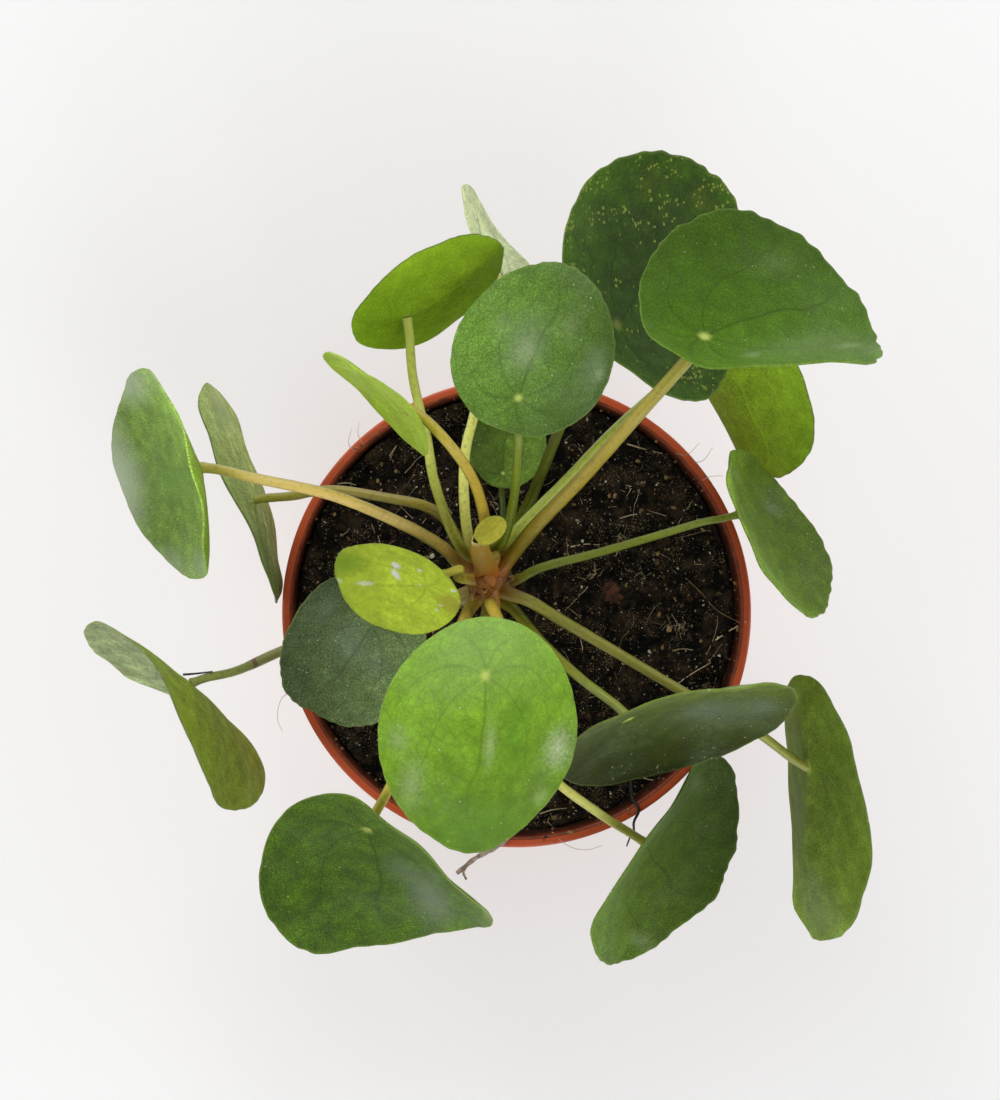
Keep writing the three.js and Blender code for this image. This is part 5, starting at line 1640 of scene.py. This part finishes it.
# Camera, as worked out from the photo: widths in its pixels, places in mm
IMAGE_WIDTH = 1000
FOCAL_PIXELS = 3130
CAMERA_X, CAMERA_Y = -4.24, 16.08


# Settings

class PileaLeafSettings(bpy.types.PropertyGroup):
    """Sizes of the leaves."""

    blade_thickness: FloatProperty(
        name="Blade thickness", description="Thickness of a leaf blade", default=0.0005, unit="LENGTH")
    swell: FloatProperty(
        name="Swell", description="Height of the soft swells of a blade", default=0.00013, unit="LENGTH")
    dimple: FloatProperty(
        name="Dimple", description="Depth of the dimple over the stalk", default=DIMPLE_DEPTH * MM,
        unit="LENGTH")
    sectors: IntProperty(name="Sectors", description="Corners around a blade's margin", default=216)
    rings: IntProperty(name="Rings", description="Rings from the stalk's spot to the margin", default=22)


class PileaTrunkSettings(bpy.types.PropertyGroup):
    """Sizes of the trunk."""

    scar_relief: FloatProperty(
        name="Scar relief", description="Height of the rings of leaf scars", default=0.0005, unit="LENGTH")
    scales: IntProperty(name="Scales", description="Papery scales around the crown", default=16)


class PileaPotSettings(bpy.types.PropertyGroup):
    """Sizes of the pot."""

    lip_round: FloatProperty(
        name="Lip rounding", description="Rounding of the lip's two top edges", default=0.0007,
        unit="LENGTH")
    sides: IntProperty(name="Sides", description="Steps of the turned section", default=180)


class PileaSoilSettings(bpy.types.PropertyGroup):
    """The soil and what lies on it."""

    sectors: IntProperty(name="Sectors", description="Corners around the soil", default=380)
    rings: IntProperty(name="Rings", description="Rings from the soil's middle to the wall", default=110)
    perlite: IntProperty(name="Perlite", description="Pale grains of perlite", default=340)
    crumbs: IntProperty(name="Crumbs", description="Tan crumbs of bark and husk", default=1100)
    wall_crumbs: IntProperty(name="Wall crumbs", description="Crumbs that cling to the pot", default=420)
    chips: IntProperty(name="Chips", description="Chips of brown bark", default=90)
    fibres: IntProperty(name="Fibres", description="Thin strands of straw and root", default=130)
    tufts: IntProperty(name="Tufts", description="Little tangles of husk", default=32)


class PileaStageSettings(bpy.types.PropertyGroup):
    """Camera, floor and light."""

    floor_colour: FloatVectorProperty(
        name="Floor", description="Colour of the floor", subtype="COLOR", size=4, default=linear("#f3f3f3"))
    camera_height: FloatProperty(
        name="Camera height", description="Height of the lens over the floor", default=0.905, unit="LENGTH")
    sky: FloatProperty(name="Sky", description="Strength of the light from all around", default=1.45)


# Operators

class PILEA_OT_blades(bpy.types.Operator):
    """Shape every leaf blade"""

    bl_idname = "pilea.blades"
    bl_label = "Leaf blades"

    def execute(self, context):
        settings = context.scene.pilea_leaf
        disc = leaf_disc(settings.sectors, settings.rings)
        for seed, (name, leaf) in enumerate(LEAVES.items()):
            piece = shaped_blade(name, leaf, disc, settings, seed)
            settle(piece, f"{leaf['kind']}_blade", f"leaf_{name}")
        bpy.data.objects.remove(disc, do_unlink=True)
        return {"FINISHED"}


class PILEA_OT_stalks(bpy.types.Operator):
    """Shape every leaf stalk"""

    bl_idname = "pilea.stalks"
    bl_label = "Leaf stalks"

    def execute(self, context):
        for seed, (name, leaf) in enumerate(LEAVES.items()):
            piece = shaped_stalk(name, leaf, seed)
            piece.data.materials.append(stalk_material(name, leaf))
            settle(piece, f"{leaf['stem']}_stalk", f"stalk_{name}")
        return {"FINISHED"}


class PILEA_OT_trunk(bpy.types.Operator):
    """Shape the trunk"""

    bl_idname = "pilea.trunk"
    bl_label = "Trunk"

    def execute(self, context):
        piece = shaped_trunk(context.scene.pilea_trunk)
        piece.data.materials.append(trunk_material())
        settle(piece, "woody_stem", "trunk")
        return {"FINISHED"}


class PILEA_OT_crown(bpy.types.Operator):
    """Shape the scales and the sheath at the top of the trunk"""

    bl_idname = "pilea.crown"
    bl_label = "Crown"

    def execute(self, context):
        scales = shaped_scales(context.scene.pilea_trunk)
        scales.data.materials.append(scale_material())
        settle(scales, "woody_stem")
        sheath = shaped_sheath()
        sheath.data.materials.append(sheath_material())
        settle(sheath, "amber_stalk")
        return {"FINISHED"}


class PILEA_OT_soil(bpy.types.Operator):
    """Shape the soil"""

    bl_idname = "pilea.soil"
    bl_label = "Soil"

    def execute(self, context):
        settings = context.scene.pilea_soil
        piece = shaped_soil(settings)
        piece.data.materials.append(soil_material())
        settle(piece, "potting_soil", "soil")
        return {"FINISHED"}


class PILEA_OT_litter(bpy.types.Operator):
    """Strew what lies loose on the soil and the rim"""

    bl_idname = "pilea.litter"
    bl_label = "Litter"

    def execute(self, context):
        settings = context.scene.pilea_soil
        rng = random.Random(11)
        perlite = scattered(rng, settings.perlite, (0.08, 0.6), 0.8)
        grain = (*LARGE_GRAIN, soil_height(*LARGE_GRAIN) + 0.5)
        perlite.append((grain, (0.75, 0.65, 0.6), (0, 0, 1)))
        crumbs = scattered(rng, settings.crumbs, (0.12, 0.9), 0.6)
        for x, y, size in LARGE_CRUMBS:
            crumbs.append(((x, y, soil_height(x, y) + 0.3), (size, 0.8 * size, 0.5 * size), (0.2, 0, x)))
        crumbs += on_wall(rng, settings.wall_crumbs)
        chips = scattered(rng, settings.chips, (0.6, 2.0), 0.28)
        strands = tufts(rng, settings.tufts) + straws(rng, settings.fibres)
        hairs = [tapered(points, 0.1, 0.05) for points in ROOT_HAIRS]
        dark = [tapered(DARK_ROOT, 0.5, 0.2), tapered(BLACK_STRAND, 0.2, 0.3)]
        pieces = (
            (lumps("perlite", perlite, 1, 1), ("Perlite", "#b4a688", "#f6ecd8", 0.8, 300.0)),
            (
                lumps("husk_crumbs", crumbs, 1, 2),
                ("Husk and bark crumbs", "#0f0a07", "#a98a5a", 0.85, 500.0),
            ),
            (lumps("bark_chips", chips, 2, 3), ("Pine bark chips", "#110b07", "#38231a", 0.8, 160.0)),
            (lumps("round_husk", round_husk(), 3, 4), ("Reddish husk", "#1f0e08", "#6e3a24", 0.75, 900.0)),
            (tube("straw", strands, 1, 5), ("Straw and root fibres", "#7a5f3c", "#ead5ac", 0.6, 500.0)),
            (tube("root_hairs", hairs, 1, 6), ("Fine pale roots", "#a08a78", "#cdb8a8", 0.6, 90.0)),
            (tube("twig", knotted_twig(), 3, 7), ("Dead twig", "#7a6558", "#d2bdae", 0.8, 900.0)),
            (tube("dead_root", dark, 3, 8), ("Dead root, nearly black", "#0f0f10", "#2a2523", 0.6, 400.0)),
        )
        for piece, finish in pieces:
            piece.data.materials.append(grain_material(*finish))
            settle(piece, "potting_soil")
        return {"FINISHED"}


class PILEA_OT_pot(bpy.types.Operator):
    """Shape the nursery pot"""

    bl_idname = "pilea.pot"
    bl_label = "Pot"

    def execute(self, context):
        piece = shaped_pot(context.scene.pilea_pot)
        piece.data.materials.append(pot_material())
        settle(piece, "terracotta_plastic", "pot")
        return {"FINISHED"}


def room_light(scene, strength):
    """Light from a white room: bright all around, and dark straight above, where the lens hangs."""
    world = scene.world or bpy.data.worlds.new("Room")
    scene.world = world
    world.use_nodes = True
    tree = world.node_tree
    tree.nodes.clear()
    direction = add(tree, "ShaderNodeTexCoord").outputs["Generated"]
    up = add(tree, "ShaderNodeSeparateXYZ", {0: direction})
    glow = add(
        tree, "ShaderNodeMapRange", {0: up.outputs["Z"], 1: 0.62, 2: 0.92, 3: strength, 4: 0.12 * strength},
        interpolation_type="SMOOTHSTEP",
    )
    background = add(tree, "ShaderNodeBackground", {"Color": (1, 1, 1, 1), "Strength": glow})
    add(tree, "ShaderNodeOutputWorld", {"Surface": background})


class PILEA_OT_stage(bpy.types.Operator):
    """Set up floor, light and camera"""

    bl_idname = "pilea.stage"
    bl_label = "Stage"

    def execute(self, context):
        settings = context.scene.pilea_stage
        bpy.ops.object.select_all(action="DESELECT")
        bpy.ops.mesh.primitive_plane_add(size=6)
        floor = bpy.context.object
        floor.name = "floor"
        material, tree = new_material("Matte white table")
        surface(tree, {"Base Color": tuple(settings.floor_colour), "Roughness": 0.9})
        floor.data.materials.append(material)
        floor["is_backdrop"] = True
        room_light(context.scene, settings.sky)
        for name, place, size, power in (
            ("window", (-0.45, 1.35, 1.35), 0.7, 6.5),
            ("side_window", (0.3, -1.35, 1.3), 0.6, 4),
        ):
            light = bpy.data.lights.new(name, "AREA")
            light.size = size
            light.energy = power
            lamp = bpy.data.objects.new(name, light)
            lamp.location = place
            aim = Vector((0, 0, 0.12)) - Vector(place)
            lamp.rotation_euler = aim.to_track_quat("-Z", "Y").to_euler()
            context.scene.collection.objects.link(lamp)
        camera = bpy.data.cameras.new("camera")
        camera.sensor_fit = "HORIZONTAL"
        camera.sensor_width = 36
        camera.lens = camera.sensor_width * FOCAL_PIXELS / IMAGE_WIDTH
        camera.clip_start = 0.01
        viewer = bpy.data.objects.new("camera", camera)
        viewer.location = (CAMERA_X * MM, CAMERA_Y * MM, settings.camera_height)
        context.scene.collection.objects.link(viewer)
        context.scene.camera = viewer
        context.scene.view_settings.view_transform = "Standard"
        return {"FINISHED"}


class PILEA_PT_panel(bpy.types.Panel):
    """Lists the steps that dress the plant"""

    bl_label = "Potted pilea"
    bl_idname = "PILEA_PT_panel"
    bl_space_type = "VIEW_3D"
    bl_region_type = "UI"
    bl_category = "Pilea"

    def draw(self, context):
        layout = self.layout
        for step in STEPS:
            layout.operator(step.bl_idname)
        for group in ("pilea_leaf", "pilea_trunk", "pilea_pot", "pilea_soil", "pilea_stage"):
            box = layout.box()
            settings = getattr(context.scene, group)
            for name in settings.__annotations__:
                box.prop(settings, name)


GROUPS = {
    "pilea_leaf": PileaLeafSettings,
    "pilea_trunk": PileaTrunkSettings,
    "pilea_pot": PileaPotSettings,
    "pilea_soil": PileaSoilSettings,
    "pilea_stage": PileaStageSettings,
}
STEPS = (
    PILEA_OT_stage, PILEA_OT_pot, PILEA_OT_soil, PILEA_OT_litter, PILEA_OT_trunk, PILEA_OT_crown,
    PILEA_OT_stalks, PILEA_OT_blades,
)


def register():
    """Makes the settings, steps and panel known to Blender."""
    for name, group in GROUPS.items():
        bpy.utils.register_class(group)
        setattr(bpy.types.Scene, name, PointerProperty(type=group))
    for item in (*STEPS, PILEA_PT_panel):
        bpy.utils.register_class(item)


def unregister():
    """Takes them out again."""
    for item in (PILEA_PT_panel, *reversed(STEPS)):
        bpy.utils.unregister_class(item)
    for name, group in GROUPS.items():
        delattr(bpy.types.Scene, name)
        bpy.utils.unregister_class(group)


def main():
    """Runs every step in order."""
    register()
    bpy.ops.pilea.stage()
    bpy.ops.pilea.pot()
    bpy.ops.pilea.soil()
    bpy.ops.pilea.litter()
    bpy.ops.pilea.trunk()
    bpy.ops.pilea.crown()
    bpy.ops.pilea.stalks()
    bpy.ops.pilea.blades()
    sizes = {"cad": cad_bounds, "visual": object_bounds()}
    sizes = {name: [list(map(float, corner)) for corner in box] for name, box in sizes.items()}


if __name__ == "__main__":
    main()
